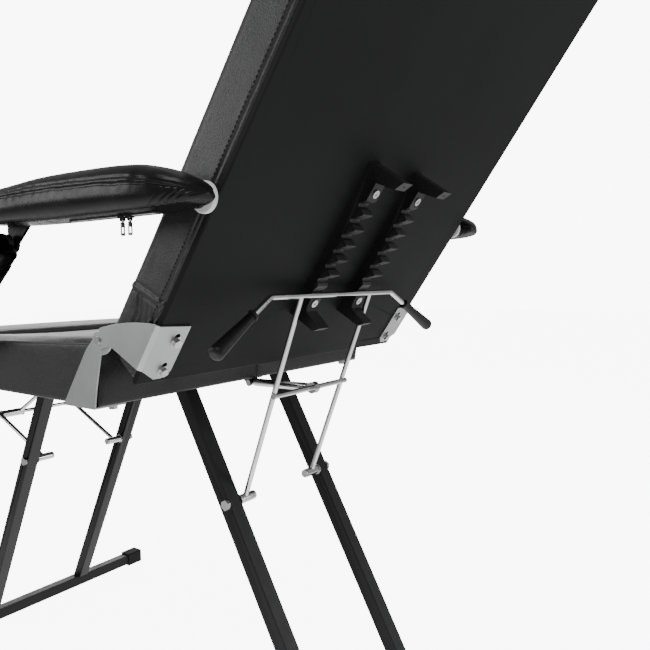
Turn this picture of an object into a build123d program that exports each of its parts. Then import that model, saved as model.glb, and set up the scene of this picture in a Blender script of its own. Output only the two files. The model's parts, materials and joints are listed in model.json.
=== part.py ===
from build123d import *

import math
import os

# Reclining tattoo chair. Millimetres, +Z up, the sitter faces -Y and +X is the sitter's left.
# The origin is on the floor under the middle of the chair's box.
# "Rear" is the backrest's end of the seat and "front" is the leg rest's end.
# Both ends carry the same hardware, mirrored, so most sub-parts are made once for each end.

# Seat
seat_width = 600
seat_length = 500
seat_thickness = 92
seat_underside = 580
seat_rear_y = 249.4
seat_dish = 16
seat_end_dish = 12
seat_front_fall = 12
seat_end_bulge = 1
seat_roll = 15
seat_side_draw = 1.5
seat_end_side_draw = 3
seat_roll_zone = 60
board_inset = 6
board_thickness = 35
post_block_width = 44
post_block_height = 33
post_block_length = 110

# Steel tube of the frame, legs and foot bars
tube_side = 23
tube_wall = 1.5
leg_outer_x = 121.6
rail_end_inset = 36
cross_rail_inset = 130
groove_clearance = 0.2
leg_top_inset = {"rear": 52.5, "front": 90}
leg_slope = {"rear": 0.549, "front": 0.501}
foot_bar_length = 560
foot_cap_wall = 4
foot_cap_length = 38
foot_cap_round = 3

# Backrest and leg rest: each is a leaf that turns on a pin at its front lower corner
leaf_thickness = 79.3
leaf_panel_thickness = 8
leaf_panel_edge = 1
leaf_top = {"rear": 771, "front": 511}
leaf_panel_start = {"rear": -9.2, "front": 7}
leaf_cushion_start = {"rear": -5, "front": 7.5}
leaf_cushion_top_gap = 2
leaf_tilt = {"rear": 34.795, "front": 97.257}
leaf_crown = 4
leaf_end_crown = 1
leaf_face_rise = 2
leaf_end_roll = 11
leaf_roll = 13
leaf_side_draw = 1.5
leaf_end_side_draw = 3
leaf_roll_zone = 50

# Hinge plates
pivot_out = 10.9
pivot_up = 87.4
plate_thickness = 2.5
seat_plate_gap = 0.5
plate_running_gap = 0.2
hinge_pin_radius = 4
hinge_pin_clearance = 0.05
hinge_head_radius = 5.2
hinge_head_height = 2.5
hinge_head_gap = 0.1
seat_plate_foot_inner = 74.3
seat_plate_foot_outer = 5.6
seat_plate_waist = (-1, 24)
seat_plate_neck = (-0.5, -18.4)
seat_plate_lobe_low = (14.5, -14.2)
seat_plate_lobe = (21.9, -5.2)
seat_plate_lobe_high = (16, 7.5)
seat_plate_top = (-4.9, 10.3)
seat_plate_shoulder = (-30.6, -13.2)
seat_flange_width = 49
leaf_plate_eye_radius = 11.5
leaf_plate_top_start = (14.9, -6.5)
leaf_plate_top_mid = (45.5, 25)
leaf_plate_top_along = 82
leaf_plate_low_along = 15.3
leaf_plate_heel = (8.2, 20.9)
leaf_plate_nape = (-7.6, 8.6)
leaf_flange_width = 47.5
leaf_flange_start = {"rear": -1, "front": 9}
leaf_flange_top = 79
leaf_flange_round = 11
leaf_flange_heel_run = 24
leaf_bend_inner = 2.7
plate_bolt_inset = 32
plate_bolt_along = {"rear": (12.5, 57), "front": (23, 61)}
plate_slot_run = 8
plate_slot_width = 7.4
plate_screw_insets = (15, 60)

# Bolts that hold the hinge plates
bolt_radius = 3
bolt_hole_clearance = 0.2
bolt_hex_across = 11
bolt_hex_height = 5
washer_radius = 7.5
washer_thickness = 1.5
seat_bolt_depth = 22
leaf_bolt_depth = 9.5

# Toothed racks on the rear of each leaf, centred at these x
rack_centres_x = (52, -64)
rack_width = 24
rack_pitch = 24.1
rack_notch_count = 7
rack_notch_floor = 13.4
rack_seat_clearance = 0.3
rack_tip_height = 27.5
rack_tip_back = 8.3
rack_tip_flat = 1.6
rack_low_tip_height = 18.6
rack_flat_height = 21.5
rack_flat_rise = 9.7
rack_top_root = (309.4, 23.6)
rack_top_tip_low = (316, 50.6)
rack_top_tip_high = (329.5, 57)
rack_top_back = 328.5
rack_low_flat_top = 123.4
rack_low_flat_end = 109
rack_low_flat_height = 19.5
rack_low_root = (104, 22.5)
rack_low_tip_high = (97.5, 54)
rack_low_tip_low = (87.8, 46.7)
rack_low_back = 85
rack_tip_hole_radius = 1.5
rack_tip_hole_depth = 5
rack_screw_along = (116.2, 294.3)
rack_screw_radius = 2.5
rack_screw_head_radius = 6
rack_screw_head_height = 2
rack_screw_recess_radius = 2.6
rack_screw_recess_depth = 1
rack_screw_depth = 26

# Prop frames: each swings on bolts through its pair of legs and holds the racks of its leaf
prop_drop = {"rear": 168.6, "front": 188}
prop_offset = {"rear": 6.14, "front": -4.19}
prop_bar_along = {"rear": 129, "front": 305.4}
prop_bar_off = {"rear": 17.5, "front": 26}
prop_rod_radius = 4
prop_rod_foot_x = 83.5
prop_rod_top_x = 88
prop_bar_straight = 306
prop_arm_reach = 115
prop_arm_drop = 55.8
prop_arm_back = 33.2
prop_arm_bend_radius = 16
prop_sleeve_inner_x = 68
prop_sleeve_outer_x = 97
prop_sleeve_radius = 7
prop_bolt_radius = 4
prop_bolt_clearance = 0.06
prop_bolt_hex_across = 14
prop_bolt_hex_height = 5.5
prop_bolt_cap_radius = 6.5
prop_bolt_cap_length = 4
prop_bolt_gap = 0.2
prop_washer_radius = 9
prop_weld_gap = 0.02
crossbar_share = 0.5335
crossbar_offset = 4
crossbar_half_length = 92
grip_length = 88
grip_start_radius = 6.3
grip_end_radius = 10
grip_end_round = 6
grip_collar_radius = 7.8
grip_collar_length = 5
grip_bore_clearance = 0.05
grip_bore_stop = 14

# Telescopic stays between the seat's underside and the crossbars
stay_inset = {"rear": 15.3, "front": 35}
stay_drop = 8
stay_tube_x = {"rear": -4, "front": 40}
stay_eye_x = {"rear": -4, "front": 56.5}
stay_eye_length = {"rear": 8, "front": 45}
stay_tube_radius = 6.5
stay_tube_bore_radius = 4.25
stay_tube_start = 9.5
stay_tube_floor = 2
stay_tube_end = {"rear": 116, "front": 122}
stay_knuckle_radius = 5.5
stay_knuckle_width = 9
stay_neck_radius = 4.2
stay_pin_radius = 3
stay_pin_clearance = 0.06
stay_rod_radius = 4
stay_rod_length = 116
stay_eye_slot_half = 2.1
stay_eye_clearance = 0.5
stay_eye_wall = 2.6
clip_radius = 9
clip_thickness = 1
clip_gap = 0.4
bracket_cheek = 2.5
bracket_gap = 0.5
bracket_foot = 2
bracket_inner = 16
bracket_outer = 6.8
bracket_flange = 11
bracket_cheek_radius = 6.5
pin_head_radius = 4.6
pin_head_height = 1.6

# Armrests: a pad on a steel rail, pivoted on the backrest and on a padded post below
arm_pivot_along = 242.6
arm_pivot_off = 65.9
arm_ring_radius = 17.5
arm_ring_bore_radius = 8.5
arm_ring_gap = 0.3
arm_ring_width = 6.5
arm_bolt_radius = 5.2
arm_bolt_depth = 30
arm_bolt_hole_clearance = 0.3
arm_bolt_head_radius = 8
arm_bolt_head_height = 2
arm_pad_gap = 9.3
arm_pad_width = 75.4
arm_pad_length = 462
arm_pad_behind = 34
arm_pad_below = 17.4
arm_pad_height = 57.5
arm_rail_skin = 3
arm_rail_thickness = 4
arm_rail_height = 20
arm_rail_eye_radius = 13
arm_running_clearance = 0.06
arm_pin_radius = 5
arm_pin_clearance = 0.3
arm_pin_reach = 13.5
arm_lug_radius = 12
arm_gusset_length = 32
post_top_ahead = 362
post_top_below = 35.5
post_bar_gap = 22
post_bar_thickness = 6
post_bar_width = 26
post_sleeve_gap = 18
post_sleeve_depth = 34
post_sleeve_width = 46
post_sleeve_rearward = 6.5
post_sleeve_start = 34
post_sleeve_beyond = 10
post_sleeve_end_draw = 4
post_sleeve_end_zone = 14
post_sleeve_round = 9
post_sleeve_bore_radius = 6.5
post_sleeve_bore_depth = 14
post_bolt_radius = 5
post_bolt_clearance = 0.06
post_spacer_radius = 9
post_bolt_gap = 0.3
post_bolt_head_radius = 9
post_bolt_head_height = 4
post_bolt_depth = 40

# Zip under each armrest pad
zip_width = 7
zip_thickness = 1.6
zip_sink = 1
zip_length = 150
zip_ahead = 25
zip_slider_ahead = (69.5, 82)
zip_slider_width = 8
zip_slider_length = 9
zip_slider_height = 2.2
zip_cheek_gap = 3.4
zip_cheek_thickness = 1
zip_cheek_radius = 1.5
zip_axle_radius = 0.6
zip_axle_clearance = 0.08
zip_axle_drop = 1.9
zip_knuckle_radius = 1.4
zip_knuckle_width = 3
zip_neck_length = 2.4
zip_pull_width = 5.5
zip_pull_thickness = 1.2
zip_pull_length = 14.5
zip_pull_window_width = 2.4
zip_pull_window_length = 6
zip_pull_round = 1.2

# Where a cushion's rolled end has its sections, as shares of the roll
roll_shares = (0, 0.12, 0.45, 1)

# How far a cut runs past the faces it opens
overrun = 1

ENDS = ("rear", "front")
OUTWARD = {"rear": 1, "front": -1}
LEAF_NAMES = {"rear": "back", "front": "leg"}
SIDES = {"left": 1, "right": -1}
END_Y = {"rear": seat_rear_y, "front": seat_rear_y - seat_length}

# The leaves are as wide as the seat, and what stands beside the seat keeps its gap to it
leaf_width = seat_width
leaf_cushion_depth = leaf_thickness - leaf_panel_thickness
seat_plate_x = seat_width / 2 + seat_plate_gap
seat_flange_inner_x = seat_plate_x + plate_thickness - seat_flange_width
leaf_plate_x = seat_plate_x + plate_thickness + plate_running_gap
leaf_flange_inner_x = leaf_plate_x - leaf_bend_inner - leaf_flange_width
plate_bolt_x = seat_width / 2 - plate_bolt_inset
arm_pad_inner_x = leaf_width / 2 + arm_pad_gap
post_bar_x = seat_width / 2 + post_bar_gap
post_sleeve_inner_x = seat_width / 2 + post_sleeve_gap
post_sleeve_outer_x = post_sleeve_inner_x + post_sleeve_depth
leg_centre_x = leg_outer_x - tube_side / 2
leg_inner_x = leg_outer_x - tube_side
seat_middle_y = seat_rear_y - seat_length / 2
foot_bar_drop = seat_underside - foot_cap_wall - tube_side / 2


def end_plane(x, end):
    """A plane across the chair at x. Local x runs outward from the seat's end, local y up."""
    outward = OUTWARD[end]
    origin = (x, END_Y[end], seat_underside)
    return Plane(origin=origin, x_dir=(0, outward, 0), z_dir=(outward, 0, 0))


def end_point(x, end, out, up):
    """The point at x, this far outward from the seat's end and above its underside."""
    return end_plane(x, end).from_local_coords(Vector(out, up, 0))


def leaf_plane(x, end, off=0):
    """A plane across a leaf at x. Local x runs along the leaf from its pin, local y to its rear."""
    outward = OUTWARD[end]
    tilt = math.radians(leaf_tilt[end])
    along = Vector(0, outward * math.sin(tilt), math.cos(tilt))
    rearward = Vector(0, outward * math.cos(tilt), -math.sin(tilt))
    origin = end_point(x, end, pivot_out, pivot_up) + rearward * off
    return Plane(origin=origin, x_dir=along, z_dir=along.cross(rearward))


def leaf_point(x, end, along, off):
    """The point at x, this far along a leaf from its pin and behind its front face."""
    return leaf_plane(x, end).from_local_coords(Vector(along, off, 0))


def face_plane(end, sign, off):
    """A plane on or parallel to a leaf's rear face, facing rearward.

    Local x runs from the chair's middle towards the side that sign gives, local y along the
    leaf or against it, as face_along says.
    """
    rearward = leaf_plane(0, end).y_dir
    return Plane(origin=leaf_point(0, end, 0, off), x_dir=(sign, 0, 0), z_dir=rearward)


def face_along(end, sign):
    """+1 where local y of face_plane runs up the leaf, -1 where it runs down."""
    return round(face_plane(end, sign, 0).y_dir.dot(leaf_plane(0, end).x_dir))


def leg_out(end, drop):
    """How far outward a leg's centre line is, this far below the seat's underside."""
    return leg_slope[end] * drop - leg_top_inset[end]


def prop_plane(x, end):
    """A plane across a prop at x. Local x runs up its rods from its bolts, local y to its rear."""
    bar = leaf_point(x, end, prop_bar_along[end], leaf_thickness + prop_bar_off[end])
    pivot = end_point(x, end, leg_out(end, prop_drop[end]) + prop_offset[end], -prop_drop[end])
    return Plane(origin=pivot, x_dir=bar - pivot, z_dir=(-OUTWARD[end], 0, 0))


def prop_length(end):
    """Distance from a prop's bolts to its bar."""
    bar = leaf_point(0, end, prop_bar_along[end], leaf_thickness + prop_bar_off[end])
    return (bar - prop_plane(0, end).origin).length


def prop_point(x, end, along, off):
    """The point at x, this far up a prop from its bolts and behind its rods."""
    return prop_plane(x, end).from_local_coords(Vector(along, off, 0))


def crossbar_point(x, end):
    """A point of a prop's crossbar, which is welded to the near sides of the rods."""
    return prop_point(x, end, crossbar_share * prop_length(end), crossbar_offset)


def stay_plane(x, end):
    """A plane along a stay at x. Local x runs from its pin to the crossbar."""
    pin = end_point(x, end, -stay_inset[end], -stay_drop)
    return Plane(origin=pin, x_dir=crossbar_point(x, end) - pin, z_dir=(-OUTWARD[end], 0, 0))


def stay_length(end):
    """Distance from a stay's pin to the crossbar."""
    return (crossbar_point(0, end) - stay_plane(0, end).origin).length


def round_bar(start, finish, radius, mode=Mode.ADD):
    """A straight round bar between two points, for the part being made."""
    axis = finish - start
    with BuildSketch(Plane(origin=start, z_dir=axis)) as section:
        Circle(radius)
    extrude(section.sketch, amount=axis.length, mode=mode)


def round_tube(start, finish, radius, bore_radius):
    """A straight round tube between two points, for the part being made."""
    axis = finish - start
    with BuildSketch(Plane(origin=start, z_dir=axis)) as section:
        Circle(radius)
        Circle(bore_radius, mode=Mode.SUBTRACT)
    extrude(section.sketch, amount=axis.length)


def hex_head(start, direction, across, height):
    """A hexagonal bolt head standing on a point, for the part being made."""
    with BuildSketch(Plane(origin=start, z_dir=direction)) as section:
        RegularPolygon(across / 2, 6, major_radius=False)
    extrude(section.sketch, amount=height)


def cushion_outline(half_width, top, crown, roll, draw):
    """Closed outline across a cushion: flat base, drawn-in sides, rolled edges and a crown.

    A crown below zero is a dish.
    """
    foot = half_width - draw
    shoulder = half_width - draw / 2
    corner = roll * (1 - math.sqrt(1 / 2))
    Line((-foot, 0), (foot, 0))
    ThreePointArc((foot, 0), (half_width, top / 2), (shoulder, top - roll))
    ThreePointArc((shoulder, top - roll), (shoulder - corner, top - corner), (shoulder - roll, top))
    ThreePointArc((shoulder - roll, top), (0, top + crown), (roll - shoulder, top))
    ThreePointArc((roll - shoulder, top), (corner - shoulder, top - corner), (-shoulder, top - roll))
    ThreePointArc((-shoulder, top - roll), (-half_width, top / 2), (-foot, 0))


def rolled_stations(length, roll, zone):
    """Places along a cushion, each with the share of the end roll that its top has dropped by."""
    near = [(share * roll, 1 - math.sqrt(1 - (1 - share) ** 2)) for share in roll_shares]
    far = [(length - place, drop) for place, drop in reversed(near)]
    middle = [(place, 0) for place in (zone, length / 4, length / 2, length * 3 / 4, length - zone)]
    return near + middle + far


def bow(place, length):
    """A share that is nothing at both ends of a length and 1 in its middle."""
    return 1 - (2 * place / length - 1) ** 2


def shifted(place, step):
    """A flat place moved by a step."""
    return (place[0] + step[0], place[1] + step[1])


def save(piece, name):
    """Label a finished piece and write it."""
    piece.part.label = name
    export_step(piece.part, f"parts/{name}.step")


os.makedirs("parts", exist_ok=True)

# Pivot of each armrest, and top, run and foot of the post below it, by side
arm_pivot = {}
post_top = {}
post_run = {}
post_foot = {}
for sign in (1, -1):
    leaf_side_x = sign * leaf_width / 2
    arm_pivot[sign] = leaf_point(leaf_side_x, "rear", arm_pivot_along, arm_pivot_off)
    post_top[sign] = arm_pivot[sign] - Vector(0, post_top_ahead, post_top_below)
    post_run[sign] = arm_pivot[sign] - leaf_point(leaf_side_x, "rear", 0, 0)
    post_foot[sign] = post_top[sign] - post_run[sign]


def at_x(point, x):
    """The same height and length place, at x."""
    return Vector(x, point.Y, point.Z)


# Seat board: two blocks on it take the armrest posts' bolts, and grooves below take the rails
with BuildPart() as board_blank:
    with BuildSketch(Plane.XY.offset(seat_underside)):
        with Locations((0, seat_middle_y)):
            Rectangle(seat_width - 2 * board_inset, seat_length - 2 * board_inset)
    extrude(amount=board_thickness)
    post_block_x = seat_width / 2 - board_inset - post_block_width / 2
    with BuildSketch(Plane.XY.offset(seat_underside + board_thickness)):
        with Locations((post_block_x, post_foot[1].Y), (-post_block_x, post_foot[-1].Y)):
            Rectangle(post_block_width, post_block_length)
    extrude(amount=post_block_height)

with BuildPart() as seat_board:
    add(board_blank.part)
    groove = tube_side + 2 * groove_clearance
    groove_length = seat_length - 2 * rail_end_inset + 2 * groove_clearance
    cross_span = seat_length - 2 * cross_rail_inset
    with BuildSketch(Plane.XY.offset(seat_underside)):
        with Locations((leg_centre_x, seat_middle_y), (-leg_centre_x, seat_middle_y)):
            Rectangle(groove, groove_length)
        with Locations((0, seat_middle_y + cross_span / 2), (0, seat_middle_y - cross_span / 2)):
            Rectangle(2 * leg_centre_x, groove)
    extrude(amount=tube_side + groove_clearance, mode=Mode.SUBTRACT)
    for end in ENDS:
        for sign in (1, -1):
            for inset in plate_screw_insets:
                hole_foot = end_point(sign * plate_bolt_x, end, -inset, 0)
                hole_top = end_point(sign * plate_bolt_x, end, -inset, seat_bolt_depth)
                round_bar(hole_foot, hole_top, bolt_radius + bolt_hole_clearance, Mode.SUBTRACT)
    for sign in (1, -1):
        hole_inner = at_x(post_foot[sign], sign * (seat_width / 2 - post_bolt_depth))
        hole_outer = at_x(post_foot[sign], sign * seat_width / 2)
        round_bar(hole_inner, hole_outer, post_bolt_radius + bolt_hole_clearance, Mode.SUBTRACT)
save(seat_board, "seat_board")

# Seat cushion: upholstery that wraps over the board and down to the underside
with BuildPart() as seat_cushion:
    cushion_length = seat_length + 2 * seat_end_bulge
    for place, drop in rolled_stations(cushion_length, seat_roll, seat_roll_zone):
        station = (0, seat_rear_y + seat_end_bulge - place, seat_underside)
        with BuildSketch(Plane(origin=station, x_dir=(1, 0, 0), z_dir=(0, -1, 0))):
            with BuildLine():
                cushion_outline(
                    seat_width / 2 - seat_end_side_draw * drop,
                    seat_thickness - seat_roll * drop - seat_front_fall * place / cushion_length,
                    (seat_end_dish - seat_dish) * bow(place, cushion_length) - seat_end_dish,
                    seat_roll,
                    seat_side_draw,
                )
            make_face()
    loft(ruled=True)
    add(board_blank.part, mode=Mode.SUBTRACT)
    for sign in (1, -1):
        hole_inner = at_x(post_foot[sign], sign * (seat_width / 2 - post_bolt_depth))
        hole_outer = at_x(post_foot[sign], sign * (seat_width / 2 + overrun))
        round_bar(hole_inner, hole_outer, post_bolt_radius + bolt_hole_clearance, Mode.SUBTRACT)
save(seat_cushion, "seat_cushion")

# Side rails along the seat, with the legs' tops under them
with BuildPart() as seat_side_rails:
    rail_start = (0, seat_rear_y - rail_end_inset, seat_underside + tube_side / 2)
    with BuildSketch(Plane(origin=rail_start, x_dir=(1, 0, 0), z_dir=(0, -1, 0))):
        with Locations((leg_centre_x, 0), (-leg_centre_x, 0)):
            Rectangle(tube_side, tube_side)
            Rectangle(tube_side - 2 * tube_wall, tube_side - 2 * tube_wall, mode=Mode.SUBTRACT)
    extrude(amount=seat_length - 2 * rail_end_inset)
save(seat_side_rails, "seat_side_rails")

# Cross rails between the side rails
with BuildPart() as seat_cross_rails:
    cross_middle = (0, seat_middle_y, seat_underside + tube_side / 2)
    with BuildSketch(Plane(origin=cross_middle, x_dir=(0, 1, 0), z_dir=(1, 0, 0))):
        with Locations((cross_span / 2, 0), (-cross_span / 2, 0)):
            Rectangle(tube_side, tube_side)
            Rectangle(tube_side - 2 * tube_wall, tube_side - 2 * tube_wall, mode=Mode.SUBTRACT)
    extrude(amount=leg_inner_x, both=True)
save(seat_cross_rails, "seat_cross_rails")

# Legs: square tube, splayed outward, with flat ends and a hole for the prop's bolt
foot_bar_top = foot_bar_drop - tube_side / 2
for end in ENDS:
    stretch = math.sqrt(1 + leg_slope[end] ** 2)
    for side, sign in SIDES.items():
        with BuildPart() as leg:
            for half_side, cut in ((tube_side / 2, Mode.ADD), (tube_side / 2 - tube_wall, Mode.SUBTRACT)):
                run = half_side * stretch
                top_out = leg_out(end, 0)
                low_out = leg_out(end, foot_bar_top)
                with BuildSketch(end_plane(sign * leg_centre_x, end)):
                    Polygon(
                        (top_out - run, 0),
                        (low_out - run, -foot_bar_top),
                        (low_out + run, -foot_bar_top),
                        (top_out + run, 0),
                        align=None,
                    )
                extrude(amount=half_side, both=True, mode=cut)
            bolt_inner = prop_plane(sign * (leg_inner_x - overrun), end).origin
            bolt_outer = prop_plane(sign * (leg_outer_x + overrun), end).origin
            round_bar(bolt_inner, bolt_outer, prop_bolt_radius + prop_bolt_clearance, Mode.SUBTRACT)
        save(leg, f"{end}_leg_{side}")

# Foot bars across each pair of legs
with BuildPart() as foot_bars:
    for end in ENDS:
        bar_middle = end_point(0, end, leg_out(end, foot_bar_drop), -foot_bar_drop)
        with BuildSketch(Plane(origin=bar_middle, x_dir=(0, 1, 0), z_dir=(1, 0, 0))):
            Rectangle(tube_side, tube_side)
            Rectangle(tube_side - 2 * tube_wall, tube_side - 2 * tube_wall, mode=Mode.SUBTRACT)
        extrude(amount=foot_bar_length / 2, both=True)
save(foot_bars, "foot_bars")

# Rubber caps over the foot bars' ends, which stand on the floor
cap_side = tube_side + 2 * foot_cap_wall
with BuildPart() as foot_caps:
    for end in ENDS:
        for sign in (1, -1):
            mouth_x = sign * (foot_bar_length / 2 + foot_cap_wall - foot_cap_length)
            mouth = end_point(mouth_x, end, leg_out(end, foot_bar_drop), -foot_bar_drop)
            with BuildSketch(Plane(origin=mouth, x_dir=(0, 1, 0), z_dir=(sign, 0, 0))):
                RectangleRounded(cap_side, cap_side, foot_cap_round)
            extrude(amount=foot_cap_length)
            with BuildSketch(Plane(origin=mouth, x_dir=(0, 1, 0), z_dir=(sign, 0, 0))):
                Rectangle(tube_side, tube_side)
            extrude(amount=foot_cap_length - foot_cap_wall, mode=Mode.SUBTRACT)
save(foot_caps, "foot_caps")

# Seat's hinge plates: a side cheek up to the pin and a flange under the board
hinge_place = (pivot_out, pivot_up)
with BuildPart() as seat_hinge_plates:
    for end in ENDS:
        for sign in (1, -1):
            outward = sign * OUTWARD[end]
            with BuildSketch(end_plane(sign * seat_plate_x, end)):
                with BuildLine():
                    Polyline(
                        shifted(hinge_place, seat_plate_top),
                        shifted(hinge_place, seat_plate_shoulder),
                        (-seat_plate_foot_inner, -plate_thickness),
                        (-seat_plate_foot_outer, -plate_thickness),
                        seat_plate_waist,
                        shifted(hinge_place, seat_plate_neck),
                    )
                    ThreePointArc(
                        shifted(hinge_place, seat_plate_neck),
                        shifted(hinge_place, seat_plate_lobe_low),
                        shifted(hinge_place, seat_plate_lobe),
                    )
                    ThreePointArc(
                        shifted(hinge_place, seat_plate_lobe),
                        shifted(hinge_place, seat_plate_lobe_high),
                        shifted(hinge_place, seat_plate_top),
                    )
                make_face()
                with Locations(hinge_place):
                    Circle(hinge_pin_radius, mode=Mode.SUBTRACT)
            extrude(amount=outward * plate_thickness)
            flange_outer_x = seat_plate_x + plate_thickness
            flange_width = flange_outer_x - seat_flange_inner_x
            flange_length = seat_plate_foot_inner - seat_plate_foot_outer
            flange_out = -(seat_plate_foot_inner + seat_plate_foot_outer) / 2
            flange_x = sign * (flange_outer_x + seat_flange_inner_x) / 2
            with BuildSketch(Plane(origin=end_point(flange_x, end, flange_out, 0), z_dir=(0, 0, -1))):
                Rectangle(flange_width, flange_length)
            extrude(amount=plate_thickness)
            for inset in plate_screw_insets:
                hole_low = end_point(sign * plate_bolt_x, end, -inset, -plate_thickness - overrun)
                hole_high = end_point(sign * plate_bolt_x, end, -inset, overrun)
                round_bar(hole_low, hole_high, bolt_radius + bolt_hole_clearance, Mode.SUBTRACT)
save(seat_hinge_plates, "seat_hinge_plates")

# Hexagonal screws that hold the seat's hinge plates from below
with BuildPart() as seat_plate_screws:
    for end in ENDS:
        for sign in (1, -1):
            for inset in plate_screw_insets:
                screw_face = end_point(sign * plate_bolt_x, end, -inset, -plate_thickness)
                screw_end = end_point(sign * plate_bolt_x, end, -inset, seat_bolt_depth)
                hex_head(screw_face, (0, 0, -1), bolt_hex_across, bolt_hex_height)
                round_bar(screw_face, screw_end, bolt_radius)
save(seat_plate_screws, "seat_plate_screws")

# Hinge pins of both leaves, flush inside and with a low head outside
with BuildPart() as hinge_pins:
    for end in ENDS:
        for sign in (1, -1):
            head_x = leaf_plate_x + plate_thickness + hinge_head_gap
            pin_inner = end_point(sign * seat_plate_x, end, *hinge_place)
            head_inner = end_point(sign * head_x, end, *hinge_place)
            head_outer = end_point(sign * (head_x + hinge_head_height), end, *hinge_place)
            round_bar(pin_inner, head_inner, hinge_pin_radius)
            round_bar(head_inner, head_outer, hinge_head_radius)
save(hinge_pins, "hinge_pins")

# Bolts through the legs that carry the props, and the washers between leg and prop
with BuildPart() as prop_bolts:
    for end in ENDS:
        for sign in (1, -1):
            cap_x = prop_sleeve_inner_x - prop_bolt_gap
            cap_outer = prop_plane(sign * cap_x, end).origin
            cap_inner = prop_plane(sign * (cap_x - prop_bolt_cap_length), end).origin
            head_face = prop_plane(sign * leg_outer_x, end).origin
            round_bar(cap_outer, head_face, prop_bolt_radius)
            round_bar(cap_inner, cap_outer, prop_bolt_cap_radius)
            hex_head(head_face, (sign, 0, 0), prop_bolt_hex_across, prop_bolt_hex_height)
save(prop_bolts, "prop_bolts")

with BuildPart() as prop_bolt_washers:
    for end in ENDS:
        for sign in (1, -1):
            washer_inner = prop_plane(sign * (prop_sleeve_outer_x + prop_bolt_gap), end).origin
            washer_outer = prop_plane(sign * leg_inner_x, end).origin
            washer_bore_radius = prop_bolt_radius + prop_bolt_clearance
            round_tube(washer_inner, washer_outer, prop_washer_radius, washer_bore_radius)
save(prop_bolt_washers, "prop_bolt_washers")

# Brackets under the board that carry the stays, and their pins
cheek_inner = stay_knuckle_width / 2 + bracket_gap
cheek_outer = cheek_inner + bracket_cheek
with BuildPart() as stay_brackets:
    for end in ENDS:
        foot_inner = -stay_inset[end] - bracket_inner
        foot_outer = -stay_inset[end] + bracket_outer
        foot_place = end_point(stay_tube_x[end], end, (foot_inner + foot_outer) / 2, 0)
        with BuildSketch(Plane(origin=foot_place, x_dir=(1, 0, 0), z_dir=(0, 0, -1))):
            Rectangle(2 * cheek_outer + 2 * bracket_flange, foot_outer - foot_inner)
        extrude(amount=bracket_foot)
        for cheek_middle in (-(cheek_inner + cheek_outer) / 2, (cheek_inner + cheek_outer) / 2):
            with BuildSketch(end_plane(stay_tube_x[end] + cheek_middle, end)):
                with Locations((-stay_inset[end], -stay_drop)):
                    Circle(bracket_cheek_radius)
                Polygon(
                    (foot_inner, 0),
                    (-stay_inset[end] - bracket_cheek_radius, -stay_drop),
                    (-stay_inset[end] + bracket_cheek_radius, -stay_drop),
                    (foot_outer, 0),
                    align=None,
                )
                with Locations((-stay_inset[end], -stay_drop)):
                    Circle(stay_pin_radius, mode=Mode.SUBTRACT)
            extrude(amount=bracket_cheek / 2, both=True)
save(stay_brackets, "stay_brackets")

with BuildPart() as stay_pins:
    for end in ENDS:
        for sign in (1, -1):
            pin_middle = stay_plane(stay_tube_x[end], end).origin
            pin_face = stay_plane(stay_tube_x[end] + sign * cheek_outer, end).origin
            pin_end = stay_plane(stay_tube_x[end] + sign * (cheek_outer + pin_head_height), end).origin
            round_bar(pin_middle, pin_face, stay_pin_radius)
            round_bar(pin_face, pin_end, pin_head_radius)
save(stay_pins, "stay_pins")

# Bolts of the armrest posts, with the shoulder that spaces each post from the seat
with BuildPart() as arm_post_bolts:
    for sign in (1, -1):
        shank_end = at_x(post_foot[sign], sign * (seat_width / 2 - post_bolt_depth))
        spacer_inner = at_x(post_foot[sign], sign * (seat_width / 2 + post_bolt_gap))
        spacer_outer = at_x(post_foot[sign], sign * (post_bar_x - post_bolt_gap))
        head_x = post_bar_x + post_bar_thickness + post_bolt_gap
        head_inner = at_x(post_foot[sign], sign * head_x)
        head_outer = at_x(post_foot[sign], sign * (head_x + post_bolt_head_height))
        round_bar(shank_end, head_inner, post_bolt_radius)
        round_bar(spacer_inner, spacer_outer, post_spacer_radius)
        round_bar(head_inner, head_outer, post_bolt_head_radius)
save(arm_post_bolts, "arm_post_bolts")

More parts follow.
